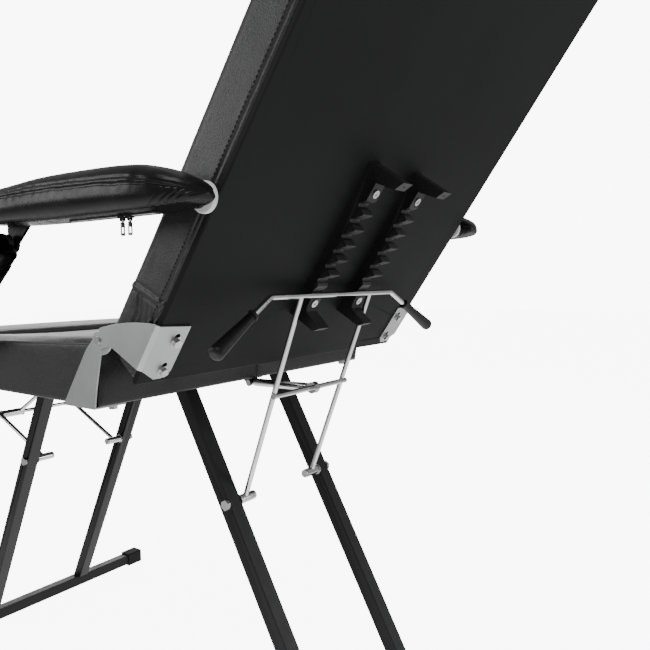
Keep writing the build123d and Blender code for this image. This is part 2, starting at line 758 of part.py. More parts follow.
# Leaves: panel, cushion, racks and hinge plates of the backrest and of the leg rest
for end in ENDS:
    leaf = LEAF_NAMES[end]
    up_leaf = face_along(end, 1)
    rearward = leaf_plane(0, end).y_dir
    flange_off = leaf_thickness + plate_thickness

    with BuildPart() as leaf_panel:
        panel_length = leaf_top[end] - leaf_panel_start[end]
        panel_middle = up_leaf * (leaf_top[end] + leaf_panel_start[end]) / 2
        with BuildSketch(face_plane(end, 1, leaf_thickness)):
            with Locations((0, panel_middle)):
                Rectangle(leaf_width - 2 * leaf_panel_edge, panel_length)
        extrude(amount=-leaf_panel_thickness)
        for rack_x in rack_centres_x:
            for along in rack_screw_along:
                hole_front = leaf_point(rack_x, end, along, leaf_cushion_depth)
                hole_rear = leaf_point(rack_x, end, along, leaf_thickness + overrun)
                round_bar(hole_front, hole_rear, rack_screw_radius + bolt_hole_clearance, Mode.SUBTRACT)
        for sign in (1, -1):
            for along in plate_bolt_along[end]:
                hole_front = leaf_point(sign * plate_bolt_x, end, along, leaf_cushion_depth)
                hole_rear = leaf_point(sign * plate_bolt_x, end, along, leaf_thickness + overrun)
                round_bar(hole_front, hole_rear, bolt_radius + bolt_hole_clearance, Mode.SUBTRACT)
    save(leaf_panel, f"{leaf}_panel")

    cushion_start = leaf_cushion_start[end]
    cushion_length = leaf_top[end] - leaf_cushion_top_gap - cushion_start
    with BuildPart() as leaf_cushion:
        for place, drop in rolled_stations(cushion_length, leaf_end_roll, leaf_roll_zone):
            station = leaf_point(0, end, cushion_start + place, leaf_cushion_depth)
            fullness = bow(place, cushion_length)
            with BuildSketch(Plane(origin=station, x_dir=(1, 0, 0), z_dir=rearward.cross(Vector(1, 0, 0)))):
                with BuildLine():
                    cushion_outline(
                        leaf_width / 2 - leaf_end_side_draw * drop,
                        leaf_cushion_depth + leaf_face_rise * fullness - leaf_end_roll * drop,
                        leaf_end_crown + (leaf_crown - leaf_end_crown) * fullness,
                        leaf_roll,
                        leaf_side_draw,
                    )
                make_face()
        loft(ruled=True)
        if end == "rear":
            for sign in (1, -1):
                bore_inner = at_x(arm_pivot[sign], sign * (leaf_width / 2 - arm_bolt_depth))
                bore_outer = at_x(arm_pivot[sign], sign * (leaf_width / 2 + overrun))
                round_bar(bore_inner, bore_outer, arm_bolt_radius + arm_bolt_hole_clearance, Mode.SUBTRACT)
    save(leaf_cushion, f"{leaf}_cushion")

    rack_first_notch = prop_bar_along["rear"]
    notch_places = [rack_first_notch + rack_pitch * number for number in range(rack_notch_count)]
    rack_outline = [
        (rack_low_back, 0),
        rack_low_tip_low,
        rack_low_tip_high,
        rack_low_root,
        (rack_low_flat_end, rack_low_flat_height),
        (rack_low_flat_top, rack_low_flat_height),
        (rack_first_notch, rack_notch_floor),
    ]
    for number, notch in enumerate(notch_places[1:]):
        tip = notch - rack_tip_back
        tip_height = rack_tip_height if number else rack_low_tip_height
        rack_outline.append((tip - rack_tip_flat / 2, tip_height))
        rack_outline.append((tip + rack_tip_flat / 2, tip_height))
        rack_outline.append((notch, rack_notch_floor))
    rack_outline += [
        (notch_places[-1] + rack_flat_rise, rack_flat_height),
        (rack_top_root[0], rack_flat_height),
        rack_top_root,
        rack_top_tip_low,
        rack_top_tip_high,
        (rack_top_back, 0),
    ]
    hook_ends = ((rack_low_tip_low, rack_low_tip_high), (rack_top_tip_low, rack_top_tip_high))
    with BuildPart() as racks:
        for rack_x in rack_centres_x:
            with BuildSketch(leaf_plane(rack_x, end, leaf_thickness)):
                Polygon(*rack_outline, align=None)
                with Locations(*[(notch, prop_bar_off["rear"]) for notch in notch_places]):
                    Circle(prop_rod_radius + rack_seat_clearance, mode=Mode.SUBTRACT)
            extrude(amount=rack_width / 2, both=True)
            for along in rack_screw_along:
                hole_front = leaf_point(rack_x, end, along, leaf_thickness)
                hole_rear = leaf_point(rack_x, end, along, leaf_thickness + rack_tip_height)
                round_bar(hole_front, hole_rear, rack_screw_radius + bolt_hole_clearance, Mode.SUBTRACT)
            for tip_a, tip_b in hook_ends:
                tip_face = leaf_plane(rack_x, end, leaf_thickness)
                corner_a = tip_face.from_local_coords(Vector(*tip_a))
                corner_b = tip_face.from_local_coords(Vector(*tip_b))
                face_out = tip_face.z_dir.cross((corner_b - corner_a).normalized())
                face_middle = (corner_a + corner_b) / 2
                hole_floor = face_middle - face_out * rack_tip_hole_depth
                round_bar(hole_floor, face_middle + face_out * overrun, rack_tip_hole_radius, Mode.SUBTRACT)
    save(racks, f"{leaf}_racks")

    screw_faces = (rack_low_flat_height, rack_flat_height)
    with BuildPart() as rack_screws:
        for rack_x in rack_centres_x:
            for along, face in zip(rack_screw_along, screw_faces):
                head_low = leaf_point(rack_x, end, along, leaf_thickness + face)
                head_high = head_low + rearward * rack_screw_head_height
                round_bar(head_low, head_high, rack_screw_head_radius)
                round_bar(head_low - rearward * rack_screw_depth, head_low, rack_screw_radius)
                recess_floor = head_high - rearward * rack_screw_recess_depth
                hex_place = Plane(origin=recess_floor, z_dir=rearward)
                with BuildSketch(hex_place):
                    RegularPolygon(rack_screw_recess_radius, 6)
                extrude(amount=rack_screw_recess_depth, mode=Mode.SUBTRACT)
    save(rack_screws, f"{leaf}_rack_screws")

    with BuildPart() as leaf_hinge_plates:
        for sign in (1, -1):
            bend_off = leaf_thickness - leaf_bend_inner
            cheek_plane = leaf_plane(sign * leaf_plate_x, end)
            outward = sign * round(cheek_plane.z_dir.X)
            with BuildSketch(cheek_plane):
                with BuildLine():
                    Polyline(
                        leaf_plate_top_start,
                        leaf_plate_nape,
                        leaf_plate_heel,
                        (leaf_plate_low_along, bend_off),
                        (leaf_plate_top_along, bend_off),
                    )
                    ThreePointArc((leaf_plate_top_along, bend_off), leaf_plate_top_mid, leaf_plate_top_start)
                make_face()
                Circle(leaf_plate_eye_radius)
                Circle(hinge_pin_radius + hinge_pin_clearance, mode=Mode.SUBTRACT)
            extrude(amount=outward * plate_thickness)
            across = face_along(end, sign)
            bend_start = leaf_point(0, end, leaf_plate_low_along, 0)
            bend_z = Vector(sign, 0, 0).cross(rearward)
            bend_x = leaf_plate_x - leaf_bend_inner
            skew = plate_thickness * math.tan(math.pi / 8)
            bend_reach = leaf_plate_top_along - leaf_plate_low_along
            bend_way = round(bend_z.dot(leaf_plane(0, end).x_dir))
            with BuildSketch(Plane(origin=bend_start, x_dir=(sign, 0, 0), z_dir=bend_z)):
                Polygon(
                    (bend_x, leaf_thickness),
                    (leaf_plate_x, bend_off),
                    (leaf_plate_x + plate_thickness, bend_off),
                    (leaf_plate_x + plate_thickness, bend_off + skew),
                    (bend_x + skew, flange_off),
                    (bend_x, flange_off),
                    align=None,
                )
            extrude(amount=bend_way * bend_reach)
            start = leaf_flange_start[end]
            with BuildSketch(face_plane(end, sign, leaf_thickness)):
                with BuildLine():
                    Polyline(
                        (bend_x, across * leaf_plate_low_along),
                        (bend_x, across * leaf_plate_top_along),
                        (leaf_flange_inner_x, across * leaf_flange_top),
                        (leaf_flange_inner_x, across * (start + leaf_flange_round)),
                        (leaf_flange_inner_x + leaf_flange_round, across * start),
                        (bend_x - leaf_flange_heel_run, across * start),
                        close=True,
                    )
                make_face()
                for along in plate_bolt_along[end]:
                    slot_middle = along + plate_slot_run / 2
                    with Locations((plate_bolt_x, across * slot_middle)):
                        SlotCenterToCenter(
                            plate_slot_run,
                            plate_slot_width,
                            rotation=90,
                            mode=Mode.SUBTRACT,
                        )
            extrude(amount=plate_thickness)
    save(leaf_hinge_plates, f"{leaf}_hinge_plates")

    with BuildPart() as leaf_plate_bolts:
        for sign in (1, -1):
            for along in plate_bolt_along[end]:
                washer_low = leaf_point(sign * plate_bolt_x, end, along, flange_off)
                washer_high = washer_low + rearward * washer_thickness
                round_bar(washer_low, washer_high, washer_radius)
                hex_head(washer_high, rearward, bolt_hex_across, bolt_hex_height)
                round_bar(washer_low - rearward * leaf_bolt_depth, washer_low, bolt_radius)
    save(leaf_plate_bolts, f"{leaf}_plate_bolts")

# Pivots of the armrests on the backrest's sides: a plastic ring and a bolt through it
with BuildPart() as arm_pivot_rings:
    for sign in (1, -1):
        ring_x = leaf_width / 2 + arm_ring_gap
        ring_inner = at_x(arm_pivot[sign], sign * ring_x)
        ring_outer = at_x(arm_pivot[sign], sign * (ring_x + arm_ring_width))
        round_tube(ring_inner, ring_outer, arm_ring_radius, arm_ring_bore_radius)
save(arm_pivot_rings, "arm_pivot_rings")

rail_x = arm_pad_inner_x + arm_rail_skin
with BuildPart() as arm_pivot_bolts:
    for sign in (1, -1):
        head_x = rail_x + arm_rail_thickness + post_bolt_gap
        shank_end = at_x(arm_pivot[sign], sign * (leaf_width / 2 - arm_bolt_depth))
        head_inner = at_x(arm_pivot[sign], sign * head_x)
        head_outer = at_x(arm_pivot[sign], sign * (head_x + arm_bolt_head_height))
        round_bar(shank_end, head_inner, arm_bolt_radius)
        round_bar(head_inner, head_outer, arm_bolt_head_radius)
save(arm_pivot_bolts, "arm_pivot_bolts")

# Props: handle bar with bent arms, rods with sleeves, crossbar, grips and clips
for end in ENDS:
    leaf = LEAF_NAMES[end]
    reach = prop_length(end)
    arm_bend = {sign: prop_point(sign * prop_bar_straight / 2, end, reach, 0) for sign in (1, -1)}
    arm_x = prop_bar_straight / 2 + prop_arm_reach
    arm_low = reach - prop_arm_drop
    arm_end = {sign: prop_point(sign * arm_x, end, arm_low, prop_arm_back) for sign in (1, -1)}
    arm_axis = {sign: (arm_end[sign] - arm_bend[sign]).normalized() for sign in (1, -1)}

    with BuildPart() as handle_bar:
        with BuildLine() as bar_path:
            FilletPolyline(
                arm_end[1] - arm_axis[1] * grip_bore_stop,
                arm_bend[1],
                arm_bend[-1],
                arm_end[-1] - arm_axis[-1] * grip_bore_stop,
                radius=prop_arm_bend_radius,
            )
        with BuildSketch(Plane(origin=bar_path.line @ 0, z_dir=bar_path.line % 0)):
            Circle(prop_rod_radius)
        sweep()
    save(handle_bar, f"{leaf}_handle_bar")

    with BuildPart() as prop_rods:
        for sign in (1, -1):
            rod_foot = prop_point(sign * prop_rod_foot_x, end, 0, 0)
            rod_top = prop_point(sign * prop_rod_top_x, end, reach, 0)
            round_bar(rod_foot, rod_top, prop_rod_radius)
            sleeve_inner = prop_point(sign * prop_sleeve_inner_x, end, 0, 0)
            sleeve_outer = prop_point(sign * prop_sleeve_outer_x, end, 0, 0)
            round_bar(sleeve_inner, sleeve_outer, prop_sleeve_radius)
            round_bar(sleeve_inner, sleeve_outer, prop_bolt_radius + prop_bolt_clearance, Mode.SUBTRACT)
        bar_left = prop_point(prop_sleeve_outer_x, end, reach, 0)
        bar_right = prop_point(-prop_sleeve_outer_x, end, reach, 0)
        round_bar(bar_right, bar_left, prop_rod_radius + prop_weld_gap, Mode.SUBTRACT)
    save(prop_rods, f"{leaf}_prop_rods")

    with BuildPart() as crossbar:
        cross_left = crossbar_point(crossbar_half_length, end)
        cross_right = crossbar_point(-crossbar_half_length, end)
        round_bar(cross_right, cross_left, prop_rod_radius)
        add(prop_rods.part, mode=Mode.SUBTRACT)
    save(crossbar, f"{leaf}_prop_crossbar")

    with BuildPart() as grips:
        for sign in (1, -1):
            grip_start = arm_end[sign] - arm_axis[sign] * grip_length
            bore = prop_rod_radius + grip_bore_clearance
            grip_side = arm_axis[sign].cross(Vector(0, 0, 1))
            with BuildSketch(Plane(origin=grip_start, x_dir=arm_axis[sign], z_dir=grip_side)):
                with BuildLine():
                    Polyline(
                        (grip_length, 0),
                        (grip_length - grip_bore_stop, 0),
                        (grip_length - grip_bore_stop, bore),
                        (0, bore),
                        (0, grip_collar_radius),
                        (grip_collar_length, grip_collar_radius),
                        (grip_collar_length, grip_start_radius),
                        (grip_length - grip_end_round, grip_end_radius),
                    )
                    round_share = math.sqrt(1 / 2)
                    ThreePointArc(
                        (grip_length - grip_end_round, grip_end_radius),
                        (
                            grip_length - grip_end_round * (1 - round_share),
                            grip_end_radius - grip_end_round * (1 - round_share),
                        ),
                        (grip_length, grip_end_radius - grip_end_round),
                    )
                    Line((grip_length, grip_end_radius - grip_end_round), (grip_length, 0))
                make_face()
            revolve(axis=Axis(grip_start, arm_axis[sign]))
    save(grips, f"{leaf}_grips")

    with BuildPart() as stay_clips:
        for sign in (1, -1):
            clip_x = stay_eye_x[end] + sign * (stay_eye_length[end] / 2 + clip_gap)
            clip_inner = crossbar_point(clip_x, end)
            clip_outer = crossbar_point(clip_x + sign * clip_thickness, end)
            round_tube(clip_inner, clip_outer, clip_radius, prop_rod_radius)
    save(stay_clips, f"{leaf}_stay_clips")

# Stays: a tube that turns on the bracket's pin and a rod whose slotted eye holds the crossbar
for end in ENDS:
    leaf = LEAF_NAMES[end]
    stay_run = stay_plane(stay_tube_x[end], end)
    stay_axis = stay_run.x_dir
    pin_centre = stay_run.origin
    with BuildPart() as stay_tube:
        with BuildSketch(stay_run):
            Circle(stay_knuckle_radius)
        extrude(amount=stay_knuckle_width / 2, both=True)
        round_bar(pin_centre, pin_centre + stay_axis * (stay_tube_start + stay_tube_floor), stay_neck_radius)
        round_bar(
            pin_centre + stay_axis * stay_tube_start,
            pin_centre + stay_axis * stay_tube_end[end],
            stay_tube_radius,
        )
        round_bar(
            pin_centre + stay_axis * (stay_tube_start + stay_tube_floor),
            pin_centre + stay_axis * stay_tube_end[end],
            stay_tube_bore_radius,
            Mode.SUBTRACT,
        )
        with BuildSketch(stay_run):
            Circle(stay_pin_radius + stay_pin_clearance)
        extrude(amount=stay_knuckle_width / 2, both=True, mode=Mode.SUBTRACT)
    save(stay_tube, f"{leaf}_stay_tube")

    eye_slot_width = 2 * (prop_rod_radius + stay_eye_clearance)
    with BuildPart() as stay_rod:
        rod_end = stay_length(end)
        round_bar(
            pin_centre + stay_axis * (rod_end - stay_rod_length),
            pin_centre + stay_axis * rod_end,
            stay_rod_radius,
        )
        with BuildSketch(stay_plane(stay_eye_x[end], end)):
            with Locations((rod_end, 0)):
                SlotCenterToCenter(2 * stay_eye_slot_half, eye_slot_width + 2 * stay_eye_wall)
        extrude(amount=stay_eye_length[end] / 2, both=True)
        with BuildSketch(stay_plane(stay_eye_x[end], end)):
            with Locations((rod_end, 0)):
                SlotCenterToCenter(2 * stay_eye_slot_half, eye_slot_width)
        extrude(amount=stay_eye_length[end] / 2, both=True, mode=Mode.SUBTRACT)
    save(stay_rod, f"{leaf}_stay_rod")

# Armrests: stations of the pad, from its rear tip forward, as shares of its length, half width,
# height and width, for place, half width, bottom, top and shift of the middle
pad_station_shares = (
    (0, 0.2, 0.23, 0.33, -0.22),
    (0.012, 0.54, 0.15, 0.43, -0.15),
    (0.035, 0.76, 0.085, 0.53, -0.08),
    (0.085, 0.91, 0.03, 0.68, -0.02),
    (0.165, 0.98, 0, 0.83, 0),
    (0.27, 1, 0, 0.935, 0),
    (0.475, 1, 0, 1, 0),
    (0.68, 1, 0.02, 1, 0),
    (0.87, 0.97, 0.1, 0.87, 0),
    (0.95, 0.88, 0.15, 0.76, 0),
    (0.985, 0.66, 0.21, 0.64, 0),
    (1, 0.36, 0.3, 0.52, 0),
)
pad_base_share = 0.62
pad_waist_share = 0.35
pad_shoulder_share = 0.5
pad_shoulder_drop_share = 0.04
pad_low_side_shares = (0.91, 0.12)
pad_high_side_shares = (0.87, 0.78)


def pad_outline(half_width, base, top):
    """Closed outline across an armrest pad, widest a third of the way up."""
    height = top - base
    waist = base + pad_waist_share * height
    shoulder_height = top - pad_shoulder_drop_share * height
    Line((-pad_base_share * half_width, base), (pad_base_share * half_width, base))
    for way in (1, -1):
        base_edge = (way * pad_base_share * half_width, base)
        widest = (way * half_width, waist)
        shoulder = (way * pad_shoulder_share * half_width, shoulder_height)
        low_across, low_up = pad_low_side_shares
        high_across, high_up = pad_high_side_shares
        ThreePointArc(base_edge, (way * low_across * half_width, base + low_up * height), widest)
        ThreePointArc(widest, (way * high_across * half_width, base + high_up * height), shoulder)
    left = (pad_shoulder_share * half_width, shoulder_height)
    right = (-pad_shoulder_share * half_width, shoulder_height)
    ThreePointArc(left, (0, top), right)


for side, sign in SIDES.items():
    pivot = arm_pivot[sign]
    pad_middle_x = arm_pad_inner_x + arm_pad_width / 2
    pad_bottom = pivot.Z - arm_pad_below

    with BuildPart() as arm_rail:
        with BuildSketch(Plane(origin=(sign * rail_x, 0, 0), x_dir=(0, 1, 0), z_dir=(1, 0, 0))):
            rail_front = post_top[sign].Y - arm_lug_radius
            strap_half = arm_rail_height / 2
            with Locations((pivot.Y, pivot.Z)):
                Circle(arm_rail_eye_radius)
            with Locations((post_top[sign].Y, post_top[sign].Z)):
                Circle(arm_lug_radius)
            Polygon(
                (pivot.Y, pivot.Z - strap_half),
                (pivot.Y, pivot.Z + strap_half),
                (rail_front, pivot.Z + strap_half),
                (rail_front, pivot.Z - strap_half),
                align=None,
            )
            Polygon(
                (rail_front, pivot.Z + strap_half),
                (rail_front, post_top[sign].Z),
                (rail_front + 2 * arm_lug_radius, post_top[sign].Z),
                (rail_front + 2 * arm_lug_radius + arm_gusset_length, pivot.Z - strap_half),
                (rail_front + 2 * arm_lug_radius + arm_gusset_length, pivot.Z + strap_half),
                align=None,
            )
            with Locations((pivot.Y, pivot.Z)):
                Circle(arm_bolt_radius + arm_running_clearance, mode=Mode.SUBTRACT)
        extrude(amount=sign * arm_rail_thickness)
        pin_root = at_x(post_top[sign], sign * rail_x)
        pin_tip = at_x(post_top[sign], sign * (rail_x + arm_rail_thickness + arm_pin_reach))
        round_bar(pin_root, pin_tip, arm_pin_radius)
    save(arm_rail, f"arm_rail_{side}")

    with BuildPart() as zip_tape:
        tape_rear = pivot.Y - zip_ahead
        tape_middle = (sign * pad_middle_x, tape_rear - zip_length / 2, pad_bottom + zip_sink)
        with BuildSketch(Plane(origin=tape_middle, x_dir=(1, 0, 0), z_dir=(0, 0, -1))):
            Rectangle(zip_width, zip_length)
        extrude(amount=zip_thickness)

    with BuildPart() as arm_pad:
        for place, width_share, base_share, top_share, shift_share in pad_station_shares:
            station_y = pivot.Y + arm_pad_behind - arm_pad_length * place
            station_x = sign * (pad_middle_x + arm_pad_width * shift_share)
            station = (station_x, station_y, pad_bottom)
            half_width = arm_pad_width / 2 * width_share
            with BuildSketch(Plane(origin=station, x_dir=(1, 0, 0), z_dir=(0, -1, 0))):
                with BuildLine():
                    pad_outline(half_width, arm_pad_height * base_share, arm_pad_height * top_share)
                make_face()
        loft(ruled=True)
        add(arm_rail.part, mode=Mode.SUBTRACT)
        add(zip_tape.part, mode=Mode.SUBTRACT)
        bolt_way = at_x(pivot, sign * (leaf_width / 2))
        rail_face = at_x(pivot, sign * (rail_x + overrun))
        head_room = at_x(pivot, sign * (rail_x + arm_rail_thickness + 2 * arm_bolt_head_height))
        round_bar(bolt_way, rail_face, arm_bolt_radius + arm_bolt_hole_clearance, Mode.SUBTRACT)
        round_bar(rail_face, head_room, arm_bolt_head_radius + arm_bolt_hole_clearance, Mode.SUBTRACT)
    save(arm_pad, f"arm_pad_{side}")

    slider_top = pad_bottom + zip_sink - zip_thickness
    axle_z = slider_top - zip_slider_height - zip_axle_drop
    with BuildPart() as arm_zipper:
        add(zip_tape.part)
        for ahead in zip_slider_ahead:
            slider_place = (sign * pad_middle_x, pivot.Y - ahead, slider_top)
            with BuildSketch(Plane(origin=slider_place, x_dir=(1, 0, 0), z_dir=(0, 0, -1))):
                RectangleRounded(zip_slider_width, zip_slider_length, zip_cheek_radius)
            extrude(amount=zip_slider_height)
            for way in (1, -1):
                cheek_x = sign * pad_middle_x + way * (zip_cheek_gap + zip_cheek_thickness) / 2
                cheek_place = (cheek_x, pivot.Y - ahead, axle_z)
                with BuildSketch(Plane(origin=cheek_place, x_dir=(0, 1, 0), z_dir=(1, 0, 0))):
                    Circle(zip_cheek_radius)
                    with Locations((0, zip_axle_drop / 2)):
                        Rectangle(2 * zip_cheek_radius, zip_axle_drop)
                extrude(amount=zip_cheek_thickness / 2, both=True)
            axle_middle = Vector(sign * pad_middle_x, pivot.Y - ahead, axle_z)
            axle_half = Vector(zip_cheek_gap / 2 + zip_cheek_thickness, 0, 0)
            round_bar(axle_middle - axle_half, axle_middle + axle_half, zip_axle_radius)
    save(arm_zipper, f"arm_zipper_{side}")

    for pull_name, ahead in zip(("rear", "front"), zip_slider_ahead):
        with BuildPart() as zip_pull:
            axle_middle = Vector(sign * pad_middle_x, pivot.Y - ahead, axle_z)
            knuckle_half = Vector(zip_knuckle_width / 2, 0, 0)
            round_bar(axle_middle - knuckle_half, axle_middle + knuckle_half, zip_knuckle_radius)
            with BuildSketch(Plane(origin=axle_middle, x_dir=(1, 0, 0), z_dir=(0, -1, 0))):
                with Locations((0, -zip_neck_length / 2)):
                    Rectangle(zip_knuckle_width, zip_neck_length)
                with Locations((0, -zip_neck_length - zip_pull_length / 2)):
                    RectangleRounded(zip_pull_width, zip_pull_length, zip_pull_round)
                with Locations((0, -zip_neck_length - zip_pull_length + zip_pull_window_length)):
                    Rectangle(zip_pull_window_width, zip_pull_window_length, mode=Mode.SUBTRACT)
            extrude(amount=zip_pull_thickness / 2, both=True)
            axle_bore = zip_axle_radius + zip_axle_clearance
            round_bar(axle_middle - knuckle_half, axle_middle + knuckle_half, axle_bore, Mode.SUBTRACT)
        save(zip_pull, f"zip_pull_{pull_name}_{side}")

    run = post_run[sign]
    post_length = run.length
    foot_inner = at_x(post_foot[sign], sign * post_bar_x)
    bar_plane = Plane(origin=foot_inner, x_dir=run, z_dir=(sign, 0, 0))
    with BuildPart() as post_blank:
        with BuildSketch(bar_plane):
            with Locations((post_length / 2, 0)):
                SlotCenterToCenter(post_length, post_bar_width)
        extrude(amount=post_bar_thickness)

    with BuildPart() as arm_post:
        add(post_blank.part)
        with BuildSketch(bar_plane):
            Circle(post_bolt_radius + post_bolt_clearance)
        extrude(amount=post_bar_thickness, mode=Mode.SUBTRACT)
        with BuildSketch(bar_plane):
            with Locations((post_length, 0)):
                Circle(arm_pin_radius + arm_pin_clearance)
        extrude(amount=post_bar_thickness, mode=Mode.SUBTRACT)
    save(arm_post, f"arm_post_{side}")

    sleeve_x = sign * (post_sleeve_inner_x + post_sleeve_outer_x) / 2
    sleeve_end = post_length + post_sleeve_beyond
    sleeve_stations = (
        (post_sleeve_start, post_sleeve_end_draw),
        (post_sleeve_start + post_sleeve_end_zone, 0),
        (post_length / 2, 0),
        (sleeve_end - post_sleeve_end_zone, 0),
        (sleeve_end, post_sleeve_end_draw),
    )
    with BuildPart() as post_sleeve:
        for along, draw in sleeve_stations:
            station = at_x(post_foot[sign], sleeve_x) + run.normalized() * along
            with BuildSketch(Plane(origin=station, x_dir=(1, 0, 0), z_dir=run)):
                with Locations((0, post_sleeve_rearward)):
                    RectangleRounded(
                        post_sleeve_depth - draw,
                        post_sleeve_width - 2 * draw,
                        post_sleeve_round - draw,
                    )
        loft(ruled=True)
        add(post_blank.part, mode=Mode.SUBTRACT)
        bore_inner = at_x(post_top[sign], sign * (post_sleeve_inner_x - overrun))
        bore_outer = at_x(post_top[sign], sign * (post_sleeve_inner_x + post_sleeve_bore_depth))
        round_bar(bore_inner, bore_outer, post_sleeve_bore_radius, Mode.SUBTRACT)
    save(post_sleeve, f"post_sleeve_{side}")
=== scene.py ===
import json
import math

import bpy
import numpy as np
from mathutils import Matrix, Vector, noise
from mathutils.bvhtree import BVHTree


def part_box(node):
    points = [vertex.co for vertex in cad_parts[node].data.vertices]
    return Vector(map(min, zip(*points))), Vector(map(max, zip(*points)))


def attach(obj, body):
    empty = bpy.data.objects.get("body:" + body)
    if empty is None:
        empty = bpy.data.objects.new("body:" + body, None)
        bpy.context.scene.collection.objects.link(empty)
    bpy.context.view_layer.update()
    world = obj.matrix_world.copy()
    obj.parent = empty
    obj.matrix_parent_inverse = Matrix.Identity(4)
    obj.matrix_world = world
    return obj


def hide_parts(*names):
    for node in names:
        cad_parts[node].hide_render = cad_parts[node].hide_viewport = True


# Reclining tattoo chair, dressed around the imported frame. Metres, +Z up, the sitter faces -Y.
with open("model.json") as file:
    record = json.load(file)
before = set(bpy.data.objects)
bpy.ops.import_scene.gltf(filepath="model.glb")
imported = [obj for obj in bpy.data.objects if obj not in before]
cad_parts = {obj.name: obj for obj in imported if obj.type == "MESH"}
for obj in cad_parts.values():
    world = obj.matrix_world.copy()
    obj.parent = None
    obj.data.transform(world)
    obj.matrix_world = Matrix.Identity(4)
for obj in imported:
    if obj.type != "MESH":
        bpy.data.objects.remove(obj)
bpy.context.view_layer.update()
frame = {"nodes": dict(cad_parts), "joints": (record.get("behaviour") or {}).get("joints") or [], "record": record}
scene = bpy.context.scene

SIDES = {"left": 1, "right": -1}

# Leaves: tilt from upright, way outward from the seat, and the joint whose place is the pin
LEAF_TILT = {"back": math.radians(34.795), "leg": math.radians(97.257)}
LEAF_OUTWARD = {"back": 1, "leg": -1}
LEAF_JOINT = {"back": "back_recline", "leg": "leg_rest_tilt"}
LEAF_BODY = {"back": "backrest", "leg": "leg_rest"}
LEAF_START = {"back": -0.005, "leg": 0.0075}
LEAF_TOP = {"back": 0.769, "leg": 0.509}
LEAF_DEPTH = 0.0713
LEAF_HALF = 0.300
JOINT_PLACE = {joint["name"]: joint.get("pos_m") for joint in frame["joints"]}

# Camera, solved from the photograph
CAMERA_PLACE = Vector((0.8018, 0.9691, 0.74095))
CAMERA_YAW = math.radians(54.11)
CAMERA_PITCH = math.radians(-4.015)
CAMERA_ROLL = math.radians(-0.696)
FOCAL_PIXELS = 657.706
PHOTO_PIXELS = 650
SENSOR = 36.0


def leaf_matrix(end):
    """Local x across the leaf, y along it from its pin, z out of its front face."""
    tilt = LEAF_TILT[end]
    outward = LEAF_OUTWARD[end]
    along = Vector((0, outward * math.sin(tilt), math.cos(tilt)))
    front = Vector((0, -outward * math.cos(tilt), math.sin(tilt)))
    across = along.cross(front)
    turn = Matrix((across, along, front)).transposed().to_4x4()
    return Matrix.Translation(Vector(JOINT_PLACE[LEAF_JOINT[end]])) @ turn


# Materials


class Nodes:
    """The node tree of a material or a world, with short calls for the nodes used here."""

    def __init__(self, owner, shader):
        owner.use_nodes = True
        self.tree = owner.node_tree
        self.link = self.tree.links.new
        self.shader = self.tree.nodes[shader]
        self.coordinates = self.new("ShaderNodeTexCoord").outputs["Object"]

    def set(self, node=None, **values):
        """Values for the inputs of a node, or of the shader; underscores stand for spaces."""
        for name, value in values.items():
            (node or self.shader).inputs[name.replace("_", " ")].default_value = value

    def new(self, kind, **values):
        node = self.tree.nodes.new(kind)
        self.set(node, **values)
        return node

    def scaled(self, scale):
        """The object's coordinates, stretched by a scale for each axis."""
        return self.texture("ShaderNodeMapping", Scale=scale).outputs["Vector"]

    def texture(self, kind, vector=None, **values):
        """A texture node with these values, over the object's coordinates or others."""
        node = self.new(kind, **values)
        self.link(vector or self.coordinates, node.inputs["Vector"])
        return node

    def noise(self, scale, detail=3.0, roughness=0.55, vector=None):
        node = self.texture(
            "ShaderNodeTexNoise", vector, Scale=scale, Detail=detail, Roughness=roughness)
        return node.outputs["Fac"]

    def voronoi(self, scale):
        node = self.texture("ShaderNodeTexVoronoi", Scale=scale)
        node.feature = "SMOOTH_F1"
        return node.outputs["Distance"]

    def wave(self, scale, distortion, direction="X"):
        node = self.texture("ShaderNodeTexWave", Scale=scale, Distortion=distortion)
        node.bands_direction = direction
        return node.outputs["Fac"]

    def ramp(self, source, low, high, first, last):
        """source between low and high, mapped to first and last."""
        node = self.new(
            "ShaderNodeMapRange", From_Min=low, From_Max=high, To_Min=first, To_Max=last)
        self.link(source, node.inputs["Value"])
        return node.outputs["Result"]

    def math(self, operation, first, second):
        node = self.new("ShaderNodeMath")
        node.operation = operation
        for place, value in enumerate((first, second)):
            if isinstance(value, (int, float)):
                node.inputs[place].default_value = value
            else:
                self.link(value, node.inputs[place])
        return node.outputs["Value"]

    def color(self, share, first, second):
        """The base colour, mixed from two by a share."""
        node = self.new("ShaderNodeMix")
        node.data_type = "RGBA"
        node.inputs["A"].default_value = (*first, 1)
        node.inputs["B"].default_value = (*second, 1)
        self.link(share, node.inputs["Factor"])
        self.link(node.outputs["Result"], self.shader.inputs["Base Color"])

    def pointiness(self):
        return self.new("ShaderNodeNewGeometry").outputs["Pointiness"]

    def roughness(self, source):
        self.link(source, self.shader.inputs["Roughness"])

    def bump(self, source, distance, strength, under=None):
        node = self.new("ShaderNodeBump", Distance=distance, Strength=strength)
        self.link(source, node.inputs["Height"])
        if under is not None:
            self.link(under, node.inputs["Normal"])
        self.link(node.outputs["Normal"], self.shader.inputs["Normal"])
        return node.outputs["Normal"]


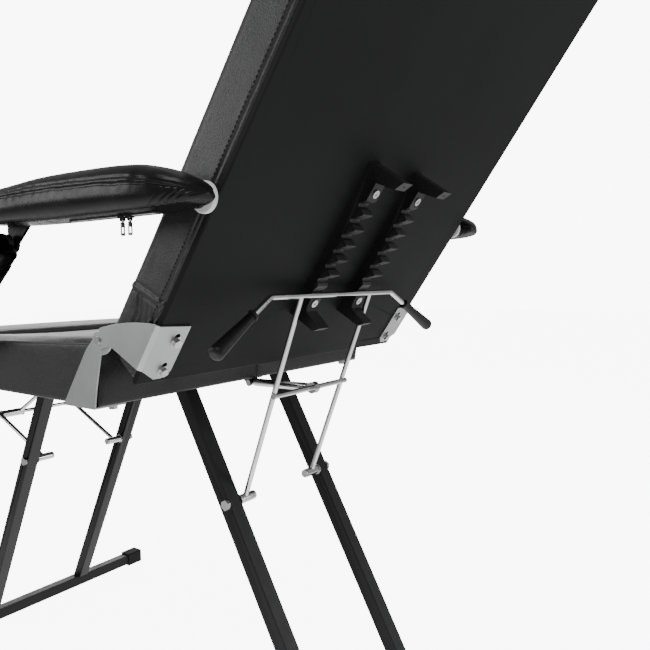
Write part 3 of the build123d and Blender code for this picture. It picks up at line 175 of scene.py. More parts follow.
def vinyl(kit, dark, light, gloss, grain, depth):
    """Coated fabric: pebbled grain, a broad mottle, and roughness that follows both."""
    pebble = kit.voronoi(1 / grain)
    fine = kit.noise(2.2 / grain, 4, 0.6)
    mottle = kit.noise(9, 3)
    grainy = kit.math("ADD", kit.math("MULTIPLY", pebble, 0.75), kit.math("MULTIPLY", fine, 0.5))
    kit.color(kit.ramp(grainy, 0.3, 0.85, 0, 1), dark, light)
    rough = kit.ramp(grainy, 0.2, 0.9, gloss - 0.05, gloss + 0.13)
    kit.roughness(kit.math("ADD", rough, kit.ramp(mottle, 0.35, 0.65, -0.04, 0.04)))
    broad = kit.bump(mottle, 0.0006, 0.5)
    kit.bump(grainy, depth, 0.8, broad)
    kit.set(Specular_IOR_Level=0.5)


def smooth_vinyl(kit, dark, light, gloss):
    """Soft glossy coated fabric with only a faint grain and slow waves."""
    fine = kit.noise(900, 3, 0.6)
    wavy = kit.noise(22, 3, 0.5)
    kit.color(kit.ramp(wavy, 0.3, 0.7, 0, 1), dark, light)
    kit.roughness(kit.ramp(kit.noise(60, 3), 0.3, 0.7, gloss - 0.05, gloss + 0.08))
    broad = kit.bump(wavy, 0.0012, 0.6)
    kit.bump(fine, 0.00012, 0.6, broad)
    kit.set(Specular_IOR_Level=0.15)


def backing(kit, dark, light):
    """Matte black backing cloth over a board: fine weave and faint cloudiness."""
    weave = kit.math("MULTIPLY", kit.wave(420, 0.6), kit.wave(420, 0.6, direction="Y"))
    clouds = kit.noise(5, 4)
    kit.color(kit.ramp(clouds, 0.3, 0.7, 0, 1), dark, light)
    kit.roughness(kit.ramp(clouds, 0.3, 0.7, 0.52, 0.62))
    soft = kit.bump(kit.noise(14, 2), 0.0008, 0.4)
    kit.bump(weave, 0.00008, 0.5, soft)
    kit.set(Specular_IOR_Level=0.09)


def paint(kit, dark, painted_edge_highlight):
    """Black powder coat: fine orange peel, and a painted highlight that lightens the colour along its edges."""
    peel = kit.noise(700, 2)
    # Painted highlight: the colour turns lighter where the surface curves sharply, along its edges.
    edge_highlight_share = kit.ramp(kit.pointiness(), 0.52, 0.6, 0, 1)
    kit.color(edge_highlight_share, dark, painted_edge_highlight)
    kit.roughness(kit.ramp(kit.noise(35, 3), 0.3, 0.7, 0.3, 0.42))
    kit.bump(peel, 0.00012, 0.6)
    kit.set(Specular_IOR_Level=0.2)


def steel(kit, dark, light, low, high, stretch):
    """Plain or brushed metal with fine drawn lines."""
    lines = kit.noise(90, 4, 0.6, kit.scaled(stretch))
    cloud = kit.noise(24, 3)
    kit.color(kit.ramp(kit.math("MULTIPLY", lines, cloud), 0.12, 0.4, 0, 1), dark, light)
    kit.roughness(kit.ramp(lines, 0.3, 0.7, low, high))
    kit.bump(lines, 0.00004, 0.35)
    kit.set(Metallic=1.0)


def moulded(kit, dark, light, low, high, grain):
    """Moulded plastic or rubber: fine spark texture, random lighter clouds, and a painted highlight along its
    edges.
    """
    spark = kit.noise(grain, 3, 0.7)
    # Painted highlight: lighter colour where the surface curves sharply, along its edges; the clouds are random
    # tone.
    painted_edge_highlight = kit.ramp(kit.pointiness(), 0.51, 0.58, 0, 1)
    cloud = kit.ramp(kit.noise(40, 3), 0.35, 0.7, 0, 0.35)
    kit.color(kit.math("MAXIMUM", painted_edge_highlight, cloud), dark, light)
    kit.roughness(kit.ramp(spark, 0.3, 0.7, low, high))
    kit.bump(spark, 0.00018, 0.5)
    kit.set(Specular_IOR_Level=0.3)


def plywood(kit):
    """Dark stained plywood: long grain with pores."""
    grain = kit.noise(16, 5, 0.6, kit.scaled((9, 1, 9)))
    kit.color(kit.ramp(grain, 0.3, 0.7, 0, 1), (0.02, 0.017, 0.014), (0.055, 0.043, 0.033))
    kit.roughness(kit.ramp(grain, 0.3, 0.7, 0.55, 0.75))
    kit.bump(grain, 0.0003, 0.5)


def woven(kit, dark, light):
    """Zip tape: a fine twill."""
    twill = kit.wave(1500, 1.0, direction="DIAGONAL")
    kit.color(twill, dark, light)
    kit.roughness(kit.ramp(kit.noise(300), 0.3, 0.7, 0.7, 0.85))
    kit.bump(twill, 0.0001, 0.6)


def material(make, name, *values):
    """A new material, with the nodes that one of these functions makes."""
    result = bpy.data.materials.new(name)
    make(Nodes(result, "Principled BSDF"), *values)
    return result


RUBBER = ((0.006, 0.006, 0.0063), (0.02, 0.02, 0.021))
# Each finish: the function that makes it, its name, and that function's other values
# For the paint and moulded finishes the lighter colour is also painted along the edges as a highlight.
LOOK_TABLE = (
    (vinyl, "upholstery", (0.0055, 0.0055, 0.0057), (0.021, 0.0215, 0.022), 0.34, 0.0017, 0.0004),
    (smooth_vinyl, "armrest_cover", (0.005, 0.005, 0.0052), (0.010, 0.010, 0.0104), 0.25),
    (smooth_vinyl, "post_cover", (0.0035, 0.0035, 0.0037), (0.007, 0.007, 0.0073), 0.3),
    (backing, "rear_cover", (0.0105, 0.0108, 0.0108), (0.0145, 0.015, 0.015)),
    (plywood, "plywood"),
    (paint, "frame_paint", (0.0042, 0.0042, 0.0045), (0.05, 0.05, 0.051)),
    (moulded, "foot_rubber", *RUBBER, 0.65, 0.8, 900),
    (steel, "plate_steel", (0.42, 0.425, 0.425), (0.49, 0.495, 0.495), 0.4, 0.5, (1, 12, 1)),
    (steel, "bolt_steel", (0.5, 0.5, 0.5), (0.7, 0.7, 0.7), 0.2, 0.34, (6, 6, 1)),
    (steel, "pin_chrome", (0.64, 0.64, 0.65), (0.8, 0.8, 0.81), 0.12, 0.22, (1, 1, 1)),
    (moulded, "rack_plastic", (0.005, 0.005, 0.0053), (0.022, 0.0225, 0.0225), 0.4, 0.56, 700),
    (steel, "prop_chrome", (0.6, 0.6, 0.61), (0.8, 0.8, 0.81), 0.06, 0.15, (1, 6, 6)),
    (steel, "stay_chrome", (0.54, 0.54, 0.55), (0.74, 0.74, 0.75), 0.07, 0.17, (6, 1, 6)),
    (moulded, "grip_rubber", *RUBBER, 0.36, 0.5, 500),
    (moulded, "ring_plastic", (0.7, 0.7, 0.68), (0.82, 0.82, 0.81), 0.3, 0.42, 400),
    (woven, "zip_plastic", *RUBBER),
)
LOOKS = {row[1]: material(*row) for row in LOOK_TABLE}
THREAD = material(woven, "thread", (0.004, 0.004, 0.004), (0.012, 0.012, 0.0125))

SLOT_OF = {row["node"]: row["material_slot"] for row in frame["record"]["subparts"]}

# CAD nodes whose edges are rounded in the real thing, by the rounding's width
EDGE_NODES = {
    0.0022: ("back_panel", "leg_panel"),
    0.0016: ("rear_leg_left", "rear_leg_right", "front_leg_left", "front_leg_right", "foot_bars"),
    0.0014: ("seat_side_rails", "seat_cross_rails"),
    0.0012: ("arm_pivot_rings",),
    0.001: ("seat_board",),
    0.0008: ("arm_post_bolts",),
    0.0006: ("back_racks", "leg_racks", "hinge_pins", "arm_pivot_bolts"),
    0.0005: (
        "prop_bolts", "back_plate_bolts", "leg_plate_bolts", "seat_plate_screws",
        "arm_rail_left", "arm_rail_right",
    ),
    0.0004: (
        "seat_hinge_plates", "back_hinge_plates", "leg_hinge_plates",
        "back_rack_screws", "leg_rack_screws", "stay_brackets", "stay_pins",
    ),
    0.0003: ("prop_bolt_washers",),
    0.0002: (
        "zip_pull_rear_left", "zip_pull_rear_right", "zip_pull_front_left", "zip_pull_front_right",
    ),
}
EDGE_WIDTH = {name: width for width, names in EDGE_NODES.items() for name in names}
WELD_DISTANCE = 0.00002
EDGE_ANGLE = math.radians(32)

for node_name, node in frame["nodes"].items():
    if not node.material_slots:
        node.data.materials.append(None)
    for material_slot in node.material_slots:
        material_slot.material = LOOKS[SLOT_OF[node_name]]
    if node_name in EDGE_WIDTH:
        weld = node.modifiers.new("Weld", "WELD")
        weld.merge_threshold = WELD_DISTANCE
        rounding = node.modifiers.new("Edges", "BEVEL")
        rounding.width = EDGE_WIDTH[node_name]
        rounding.segments = 2
        rounding.limit_method = "ANGLE"
        rounding.angle_limit = EDGE_ANGLE


# Mesh helpers


def new_mesh(name, points, faces):
    mesh = bpy.data.meshes.new(name)
    mesh.from_pydata([tuple(point) for point in points], [], faces)
    mesh.update()
    return mesh


def add_object(name, data):
    thing = bpy.data.objects.new(name, data)
    scene.collection.objects.link(thing)
    return thing


def place_mesh(name, points, faces, look, body, replaced=()):
    """A smooth-shaded piece from points in the row frame, riding on a body."""
    mesh = new_mesh(name, points, faces)
    mesh.validate()
    mesh.polygons.foreach_set("use_smooth", [True] * len(mesh.polygons))
    mesh.materials.append(look)
    piece = add_object(name, mesh)
    if replaced:
        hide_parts(*replaced)
    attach(piece, body)
    return piece


def evaluated_points(piece):
    """The piece's points and faces with its modifiers applied."""
    depsgraph = bpy.context.evaluated_depsgraph_get()
    depsgraph.update()
    result = piece.evaluated_get(depsgraph)
    mesh = result.to_mesh()
    points = np.empty(len(mesh.vertices) * 3)
    mesh.vertices.foreach_get("co", points)
    faces = [tuple(face.vertices) for face in mesh.polygons]
    result.to_mesh_clear()
    return points.reshape(-1, 3), faces


def scratch_piece(points, faces):
    return add_object("scratch", new_mesh("scratch", points, faces))


def drop_piece(piece):
    mesh = piece.data
    bpy.data.objects.remove(piece)
    bpy.data.meshes.remove(mesh)


def finer(points, faces, kind="CATMULL_CLARK"):
    """Points and faces divided once: smoothly, or with kind SIMPLE where they are."""
    piece = scratch_piece(points, faces)
    modifier = piece.modifiers.new("Finer", "SUBSURF")
    modifier.subdivision_type = kind
    modifier.levels = 1
    modifier.render_levels = 1
    result = evaluated_points(piece)
    drop_piece(piece)
    return result


CLOTH_FRAMES = 20
CLOTH_SETTINGS = {
    "quality": 4, "mass": 0.3, "air_damping": 4, "use_pressure": True,
    "tension_stiffness": 15, "compression_stiffness": 15, "shear_stiffness": 5, "bending_stiffness": 2,
    "vertex_group_mass": "held", "pin_stiffness": 2,
}


def puffed(points, faces, held, pressure):
    """The points after a cloth simulation under pressure, with some of them held in place."""
    piece = scratch_piece(points, faces)
    group = piece.vertex_groups.new(name="held")
    for index in np.nonzero(held > 0)[0]:
        group.add([int(index)], float(held[index]), "REPLACE")
    cloth = piece.modifiers.new("Puff", "CLOTH")
    for name, value in CLOTH_SETTINGS.items():
        setattr(cloth.settings, name, value)
    cloth.settings.uniform_pressure_force = pressure
    cloth.settings.effector_weights.gravity = 0
    cloth.point_cache.frame_start = 1
    cloth.point_cache.frame_end = CLOTH_FRAMES
    for step in range(1, CLOTH_FRAMES + 1):
        scene.frame_set(step)
    result, _ = evaluated_points(piece)
    drop_piece(piece)
    scene.frame_set(1)
    return result


NO_LENGTH = 1e-9


def capped(rest, moved, most):
    """moved, with no point further than most from its rest place."""
    step = moved - rest
    length = np.linalg.norm(step, axis=1)
    share = np.where(length > NO_LENGTH, np.minimum(length, most) / np.maximum(length, NO_LENGTH), 0)
    return rest + step * share[:, None]


def normals_of(points, faces):
    mesh = new_mesh("normals", points, faces)
    result = np.empty(len(points) * 3)
    mesh.vertex_normals.foreach_get("vector", result)
    bpy.data.meshes.remove(mesh)
    return result.reshape(-1, 3)


def smooth_noise(points, size, seed):
    """Noise from -1 to 1 at each point, with features of about this size."""
    shift = Vector((seed * 7.31, seed * 3.17, seed * 5.73))
    return np.array([noise.noise(Vector(point) / size + shift) for point in points])


def valley(distance, width):
    """A share that is 1 on a line and nothing away from it."""
    return np.exp(-(distance / width) ** 2)


def creased(points, size, seed, width):
    """1 along the winding lines where a slow noise changes sign, and nothing between them."""
    return valley(smooth_noise(points, size, seed), width)


SEAM_CELLS = (-0.0042, -0.0018, 0, 0.0018, 0.0042)
LEAST_CELL = 0.0009


def spread(low, high, cell, near_edge, refined, fine_span=()):
    """Grid places from low to high: close together at both ends, at refined places and in a span."""
    places = {low, high}
    if fine_span:
        start, end, step = fine_span
        places.update(np.arange(start, end, step))
    for share in near_edge:
        places.update((low + share, high - share))
    for place in refined:
        for step in SEAM_CELLS:
            if low < place + step < high:
                places.add(place + step)
    ordered = sorted(places)
    result = [ordered[0]]
    for place in ordered[1:]:
        gap = place - result[-1]
        if gap < LEAST_CELL:
            continue
        count = max(1, math.ceil(gap / cell))
        start = result[-1]
        result.extend(start + gap * number / count for number in range(1, count + 1))
    result[-1] = high
    return result


def box_grid(xs, ys, zs):
    """Points and quads of a closed box whose sides are divided at the given places."""
    counts = [len(places) - 1 for places in (xs, ys, zs)]
    index = {}
    faces = []
    for first, second, across in ((0, 1, 2), (0, 2, 1), (1, 2, 0)):
        for i in range(counts[first]):
            for j in range(counts[second]):
                for k in (0, counts[across]):
                    quad = []
                    for step_i, step_j in ((0, 0), (1, 0), (1, 1), (0, 1)):
                        key = [k, k, k]
                        key[first], key[second] = i + step_i, j + step_j
                        quad.append(index.setdefault(tuple(key), len(index)))
                    inward = (k == 0) == (across != 1)
                    faces.append(tuple(quad[::-1] if inward else quad))
    return np.array([(xs[i], ys[j], zs[k]) for i, j, k in index]), faces


def ring_faces(rings, count):
    """Quads between neighbouring rings of count points each."""
    return [
        (near + step, near + (step + 1) % count, near + count + (step + 1) % count, near + count + step)
        for near in range(0, (rings - 1) * count, count) for step in range(count)
    ]


def rounded_box(points, low, high, top_roll, foot_roll):
    """Box points moved in so that the top edges and corners are rolled and the foot is sharper."""
    low = np.array(low)
    high = np.array(high)
    share = np.clip((points[:, 2] - low[2]) / (high[2] - low[2]), 0, 1)
    roll = np.where(share > 0.5, top_roll, foot_roll)[:, None]
    inner = np.clip(points, low + roll, high - roll)
    away = points - inner
    length = np.linalg.norm(away, axis=1)[:, None]
    on_edge = length > NO_LENGTH
    unit = np.where(on_edge, away / np.maximum(length, NO_LENGTH), 0)
    return np.where(on_edge, inner + unit * roll, points)


ROLL_STEPS = (0.0025, 0.0055, 0.009, 0.013)
FOLD_ROOM = 0.0013
FACE_CELL = 0.011
FOOT_ROLL = 0.0035
# The band beside a cushion's board that is held, and the one that stays smooth
FOOT_HELD = 0.004
FOOT_SMOOTH = 0.002
ON_SIDE = 0.0008
SEAM_HALF = 0.001
SEAM_HOLD = 0.75
CUSHION_PRESSURE = 4.0
# Beside a seam: depth and width of its valley, and height, grain and reach of its puckers
VALLEY_DEPTH, VALLEY_WIDTH = 0.0011, 0.0015
PUCKER_HEIGHT, PUCKER_GRAIN, PUCKER_REACH = 0.0004, 0.014, 0.012
SWELL_HEIGHT, SWELL_GRAIN = 0.0007, 0.16


def padded_piece(name, points, faces, body, node):
    """A padded piece that stands for a CAD node and takes its finish."""
    piece = place_mesh(name, points, faces, LOOKS[SLOT_OF[node]], body, (node,))
    return piece


def cushion(
    name, low, high, matrix, body, node, top_roll, lift, ring_seam, puff, limit, folds,
    border=0.0, end_seam=False, fine_span=(), wall_cell=0.009,
):
    """A sewn cushion: rolled box, puffed by simulation between its seams, with seam valleys after.

    ring_seam is the height of the seam round its sides, border the inset of the seam round its face,
    lift is a function that crowns or dishes its face, limit one that keeps it in its space,
    and folds one that gives the height of its creases.
    """
    refined_x = [low[0] + border, high[0] - border] if border else []
    refined_y = [low[1] + border, high[1] - border] if border else []
    if end_seam:
        refined_x.append(0.0)
    xs = spread(low[0], high[0], FACE_CELL, ROLL_STEPS, refined_x)
    ys = spread(low[1], high[1], FACE_CELL, ROLL_STEPS, refined_y, fine_span)
    zs = spread(low[2], high[2], wall_cell, ROLL_STEPS[:3], (ring_seam,))
    flat, faces = box_grid(xs, ys, zs)
    rest = rounded_box(flat, low, high, top_roll, FOOT_ROLL)
    share_x = 2 * (flat[:, 0] - low[0]) / (high[0] - low[0]) - 1
    share_y = (flat[:, 1] - low[1]) / (high[1] - low[1])
    top = np.clip((flat[:, 2] - low[2]) / (high[2] - low[2]), 0, 1)
    rest[:, 2] += lift(share_x, share_y) * top ** 2

    def seam_distance(places):
        """Distance from the nearest seam, of points given by their places on the flat box."""
        inset = np.minimum(places - low, high - places)[:, :2].min(axis=1)
        nearest = np.where(inset < ON_SIDE, np.minimum(1.0, np.abs(places[:, 2] - ring_seam)), 1.0)
        if border:
            on_face = places[:, 2] > high[2] - ON_SIDE
            nearest = np.where(on_face, np.minimum(nearest, np.abs(inset - border)), nearest)
        if end_seam:
            on_end = (places[:, 1] > high[1] - ON_SIDE) & (places[:, 2] < high[2] - FOOT_HELD)
            nearest = np.where(on_end, np.minimum(nearest, np.abs(places[:, 0])), nearest)
        return nearest

    foot = flat[:, 2] < low[2] + FOOT_HELD
    held = np.where(foot, 1.0, np.where(seam_distance(flat) < SEAM_HALF, SEAM_HOLD, 0.0))
    moved = limit(capped(rest, puffed(rest, faces, held, CUSHION_PRESSURE), puff), FOLD_ROOM)
    fine, fine_faces = finer(moved, faces)
    fine_flat, _ = finer(flat, faces, "SIMPLE")
    distance = seam_distance(fine_flat)
    normals = normals_of(fine, fine_faces)
    seed = len(name)
    pucker = smooth_noise(fine_flat, PUCKER_GRAIN, seed) * valley(distance, PUCKER_REACH)
    slow = smooth_noise(fine_flat, SWELL_GRAIN, seed + 3)
    step = PUCKER_HEIGHT * pucker + SWELL_HEIGHT * slow - VALLEY_DEPTH * valley(distance, VALLEY_WIDTH)
    step = np.where(fine_flat[:, 2] < low[2] + FOOT_SMOOTH, 0, step) + folds(fine_flat)
    fine = limit(fine + normals * step[:, None])
    world = np.array([matrix @ Vector(point) for point in fine])
    return padded_piece(name, world, fine_faces, body, node)


def thread_mesh(centres, widths, up, sides):
    """Points and faces of a thin closed tube through the centres."""
    points = []
    last = len(centres) - 1
    for number, (centre, width) in enumerate(zip(centres, widths)):
        way = (centres[min(number + 1, last)] - centres[max(number - 1, 0)]).normalized()
        lift = (up - way * up.dot(way)).normalized()
        across = way.cross(lift)
        for side in range(sides):
            angle = 2 * math.pi * side / sides
            points.append(centre + across * math.cos(angle) * width + lift * math.sin(angle) * width)
    ends = [tuple(range(sides))[::-1], tuple(last * sides + side for side in range(sides))]
    return points, ring_faces(len(centres), sides) + ends


def join_meshes(parts):
    """One list of points and faces from several."""
    points = []
    faces = []
    for part_points, part_faces in parts:
        base = len(points)
        points.extend(part_points)
        faces.extend(tuple(base + index for index in face) for face in part_faces)
    return points, faces


STITCH_LENGTH = 0.0034
STITCH_PITCH = 0.0054
STITCH_RADIUS = 0.0007
STITCH_SIDES = 6
# Along one stitch: how far each point is from its middle, how proud of the seam, and how thick
STITCH_SHAPE = ((-1, -1, 0.5), (-0.6, 0.25, 1), (0.6, 0.25, 1), (1, -1, 0.5))


def stitches(name, paths, body):
    """Rows of stitches: each path is a list of (place, outward) along a seam."""
    parts = []
    for path in paths:
        places, outs = zip(*path)
        travelled = 0.0
        due = STITCH_PITCH / 2
        for number in range(len(places) - 1):
            run = places[number + 1] - places[number]
            length = run.length
            while due <= travelled + length and length > 0:
                share = (due - travelled) / length
                middle = places[number] + run * share
                out = outs[number].lerp(outs[number + 1], share).normalized()
                way = run.normalized() * STITCH_LENGTH / 2
                line = [
                    middle + way * place + out * STITCH_RADIUS * proud for place, proud, _ in STITCH_SHAPE
                ]
                widths = [STITCH_RADIUS * share for _, _, share in STITCH_SHAPE]
                parts.append(thread_mesh(line, widths, out, STITCH_SIDES))
                due += STITCH_PITCH
            travelled += length
    points, faces = join_meshes(parts)
    place_mesh(name, points, faces, THREAD, body)


# Seat cushion: its face is dished and falls a little towards the front

SEAT_LOW, SEAT_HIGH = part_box("seat_cushion")
SEAT_DISH = 0.0175
SEAT_END_DISH = 0.0135
SEAT_FALL = 0.017
SIDE_ROOM = 0.3003
# The underside that rests on the seat's board: half width, inset from the ends, band, and height
SEAT_REST_HALF, SEAT_REST_INSET = 0.291, 0.011
SEAT_REST_BAND, SEAT_REST_RISE = 0.01, 0.003
END_ROOM = 0.0006


def seat_lift(share_x, share_y):
    """The seat's dish, less deep at its ends, and its fall to the front."""
    across = np.clip(1 - share_x ** 2, 0, 1)
    middle = np.clip(1 - (2 * share_y - 1) ** 2, 0, 1)
    dish = SEAT_END_DISH + (SEAT_DISH - SEAT_END_DISH) * middle
    return -dish * across ** 1.2 - SEAT_FALL * (1 - share_y)


def keep_seat(points, spare=0.0):
    """Keeps the seat cushion inside the space between the hinge plates and above the board."""
    points[:, 0] = np.clip(points[:, 0], spare - SIDE_ROOM, SIDE_ROOM - spare)
    points[:, 1] = np.clip(points[:, 1], SEAT_LOW.y - END_ROOM, SEAT_HIGH.y + END_ROOM)
    inside = (
        (np.abs(points[:, 0]) < SEAT_REST_HALF)
        & (points[:, 1] < SEAT_HIGH.y - SEAT_REST_INSET) & (points[:, 1] > SEAT_LOW.y + SEAT_REST_INSET)
        & (points[:, 2] < SEAT_LOW.z + SEAT_REST_BAND)
    )
    points[:, 2] = np.where(inside, SEAT_LOW.z + SEAT_REST_RISE, points[:, 2])
    return points


SEAT_TOP = SEAT_LOW.z + 0.0895 - 0.0005
SEAT_SEAM = SEAT_TOP - 0.0068
SEAT_HALF = 0.2988
SEAT_END_ROOM = 0.0018
# Pleats beside the hinge plates: how far from the seat's ends and under its seam, with their spread
DRAWN_WALL = 0.298
DRAWN_INSET, DRAWN_SPREAD = 0.058, 0.022
DRAWN_DROP, DRAWN_HEIGHT = 0.006, 0.013
DRAWN_STRETCH = np.array((1, 2.2, 1))
DRAWN_SWELL, DRAWN_DEPTH, DRAWN_SIZE, DRAWN_WIDTH = 0.0008, 0.0011, 0.016, 0.16


def seat_folds(flat):
    """Small pleats that fan out where the seat's cover is drawn in beside the hinge plates."""
    on_wall = np.abs(flat[:, 0]) > DRAWN_WALL
    from_end = np.minimum(SEAT_HIGH.y - flat[:, 1], flat[:, 1] - SEAT_LOW.y)
    drawn = valley(from_end - DRAWN_INSET, DRAWN_SPREAD) * on_wall
    drawn = drawn * valley(flat[:, 2] - SEAT_SEAM + DRAWN_DROP, DRAWN_HEIGHT)
    fan = creased(flat * DRAWN_STRETCH, DRAWN_SIZE, 11, DRAWN_WIDTH)
    return DRAWN_SWELL * drawn - DRAWN_DEPTH * drawn * fan


cushion(
    "seat_upholstery",
    (-SEAT_HALF, SEAT_LOW.y + SEAT_END_ROOM, SEAT_LOW.z),
    (SEAT_HALF, SEAT_HIGH.y - SEAT_END_ROOM, SEAT_TOP),
    Matrix.Identity(4), "frame", "seat_cushion",
    top_roll=0.0125, lift=seat_lift, ring_seam=SEAT_SEAM, puff=0.003, limit=keep_seat,
    folds=seat_folds, end_seam=True,
)

# Leaf cushions: z runs from the board to the front face

LEAF_CROWN = 0.0035
LEAF_TOP_ROOM = 0.003
LEAF_BOARD_ROOM = 0.0002


def leaf_lift(share_x, share_y):
    """A leaf's low crown."""
    middle = (1 - share_x ** 2) * (1 - (2 * share_y - 1) ** 2)
    return LEAF_CROWN * np.sqrt(np.clip(middle, 0, 1))


LEG_DROP = 0.016
LEG_DROP_SHARE = 0.2


def leg_lift(share_x, share_y):
    """The leg rest's crown, which falls away towards the seat's low front edge."""
    return leaf_lift(share_x, share_y) - LEG_DROP * valley(share_y, LEG_DROP_SHARE)


def keep_leaf(end):
    """Keeps a leaf's cushion on its board and beside the hinge plates."""
    def limit(points, spare=0.0):
        points[:, 0] = np.clip(points[:, 0], spare - SIDE_ROOM, SIDE_ROOM - spare)
        points[:, 1] = np.clip(points[:, 1], LEAF_START[end] - END_ROOM, LEAF_TOP[end] + LEAF_TOP_ROOM)
        points[:, 2] = np.maximum(points[:, 2], -LEAF_DEPTH + LEAF_BOARD_ROOM)
        return points
    return limit


def line_distance(along, off, line):
    """Distance of places on a leaf's side from a line of (along, off) places, and which side of it."""
    places = along + 1j * off
    line = [complex(*place) for place in line]
    nearest = np.full(len(places), 1.0)
    side = np.zeros(len(places))
    for start, end in zip(line, line[1:]):
        run = end - start
        share = np.clip(((places - start) * run.conjugate()).real / abs(run) ** 2, 0, 1)
        gap = places - start - run * share
        side = np.where(abs(gap) < nearest, np.sign((gap.conjugate() * run).imag), side)
        nearest = np.minimum(nearest, abs(gap))
    return nearest, side


# Where the back's cover is gathered above the hinge: a slanted welt and pleats below it
BACK_WELT = ((0.0885, -0.002), (0.093, 0.012), (0.0985, 0.040), (0.1035, 0.074))
BACK_PLEATS = (
    (((0.0875, 0.027), (0.076, 0.0335), (0.066, 0.036), (0.0543, 0.0362)), 0.0026),
    (((0.089, 0.048), (0.078, 0.0535), (0.068, 0.0575), (0.060, 0.0595)), 0.0009),
    (((0.086, 0.010), (0.074, 0.016), (0.062, 0.019)), 0.0006),
)
LEAF_WALL = 0.29
# The welt's height and half width; the groove's depth, distance and width beside it
WELT_HEIGHT, WELT_HALF = 0.0013, 0.0034
GROOVE_DEPTH, GROOVE_GAP, GROOVE_WIDTH = 0.0011, 0.0048, 0.0011
# A pleat's width, and the rise beside it: share of its depth, distance and width
PLEAT_WIDTH = 0.0016
RISE_SHARE, RISE_GAP, RISE_WIDTH = 0.45, 0.0042, 0.0026
# Faint pulls beside the hinges: depth, distance from the pin, reach, and size, seed and width
LEAF_PULLS = {"back": (0.0006, 0.1, 0.04, 0.03, 5, 0.1), "leg": (0.0007, 0.06, 0.045, 0.028, 8, 0.1)}


def pulls(flat, end):
    depth, place, reach, size, seed, width = LEAF_PULLS[end]
    return depth * valley(flat[:, 1] - place, reach) * creased(flat, size, seed, width)


def back_folds(flat):
    """The welt and pleats on both sides of the backrest, low down."""
    along, off = flat[:, 1], -flat[:, 2]
    on_wall = np.abs(flat[:, 0]) > LEAF_WALL
    gap, _ = line_distance(along, off, BACK_WELT)
    step = WELT_HEIGHT * np.exp(-(gap / WELT_HALF) ** 4)
    step -= GROOVE_DEPTH * valley(gap - GROOVE_GAP, GROOVE_WIDTH)
    for line, depth in BACK_PLEATS:
        gap, side = line_distance(along, off, line)
        step -= depth * valley(gap, PLEAT_WIDTH)
        step += RISE_SHARE * depth * valley(gap - RISE_GAP, RISE_WIDTH) * (side > 0)
    return (step - pulls(flat, "back")) * on_wall


def leg_folds(flat):
    """Faint pulls in the leg rest's cover beside its hinges."""
    return -pulls(flat, "leg") * (np.abs(flat[:, 0]) > LEAF_WALL)


LEAF_SEAM = -LEAF_DEPTH + 0.0068
LEAF_CUSHION_HALF = 0.2985
LEAF_CUSHION_ROOM = 0.0012
LEAF_FACE = -0.002
# For each leaf: its crown, its folds, and the span along it with a finer grid
LEAF_FORM = {
    "back": (leaf_lift, back_folds, (0.048, 0.112, 0.0042)), "leg": (leg_lift, leg_folds, ()),
}
leaf_pieces = {}
for end, (lift, folds, fine_span) in LEAF_FORM.items():
    leaf_pieces[end] = cushion(
        f"{end}_upholstery",
        (-LEAF_CUSHION_HALF, LEAF_START[end] + LEAF_CUSHION_ROOM, -LEAF_DEPTH),
        (LEAF_CUSHION_HALF, LEAF_TOP[end] - LEAF_CUSHION_ROOM, LEAF_FACE),
        leaf_matrix(end), LEAF_BODY[end], f"{end}_cushion",
        top_roll=0.012, lift=lift, ring_seam=LEAF_SEAM, border=0.0125, puff=0.0035,
        limit=keep_leaf(end), folds=folds, fine_span=fine_span, wall_cell=0.0058,
    )

# Stitching along the seam behind each leaf's sides and top

STITCH_AHEAD = 0.0036
STITCH_STEP = 0.008
PROBE_ROOM = 0.03
# How far the stitching stops from a leaf's ends and from the ends of its top
STITCH_END = 0.012
STITCH_SIDE = 0.014


def wall_path(tree, matrix, places, way):
    """Where rays from beside a wall meet it, with the way out of it."""
    path = []
    turned = matrix.to_3x3() @ Vector(way)
    for place in places:
        found, normal, _, _ = tree.ray_cast(matrix @ Vector(place), turned)
        if found is not None:
            path.append((found, normal))
    return path


for end, piece in leaf_pieces.items():
    mesh = piece.data
    tree = BVHTree.FromPolygons(
        [vertex.co for vertex in mesh.vertices], [tuple(face.vertices) for face in mesh.polygons])
    matrix = leaf_matrix(end)
    height = LEAF_SEAM + STITCH_AHEAD
    paths = []
    for sign in SIDES.values():
        places = [
            (sign * (LEAF_HALF + PROBE_ROOM), place, height)
            for place in np.arange(LEAF_START[end] + STITCH_END, LEAF_TOP[end] - STITCH_END, STITCH_STEP)
        ]
        paths.append(wall_path(tree, matrix, places, (-sign, 0, 0)))
    places = [
        (place, LEAF_TOP[end] + PROBE_ROOM, height)
        for place in np.arange(-LEAF_HALF + STITCH_SIDE, LEAF_HALF - STITCH_SIDE, STITCH_STEP)
    ]
    paths.append(wall_path(tree, matrix, places, (0, -1, 0)))
    stitches(f"{end}_stitches", paths, LEAF_BODY[end])

# Armrest covers: a domed top, a rolled welt between two seams, and a lower cover gathered at the rear

PAD_LOW, PAD_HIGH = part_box("arm_pad_left")
PAD_LENGTH = PAD_HIGH.y - PAD_LOW.y
PAD_HEIGHT = PAD_HIGH.z - PAD_LOW.z
PAD_WIDTH = 0.0754
PAD_MIDDLE = 0.347
PAD_INNER = 0.3093
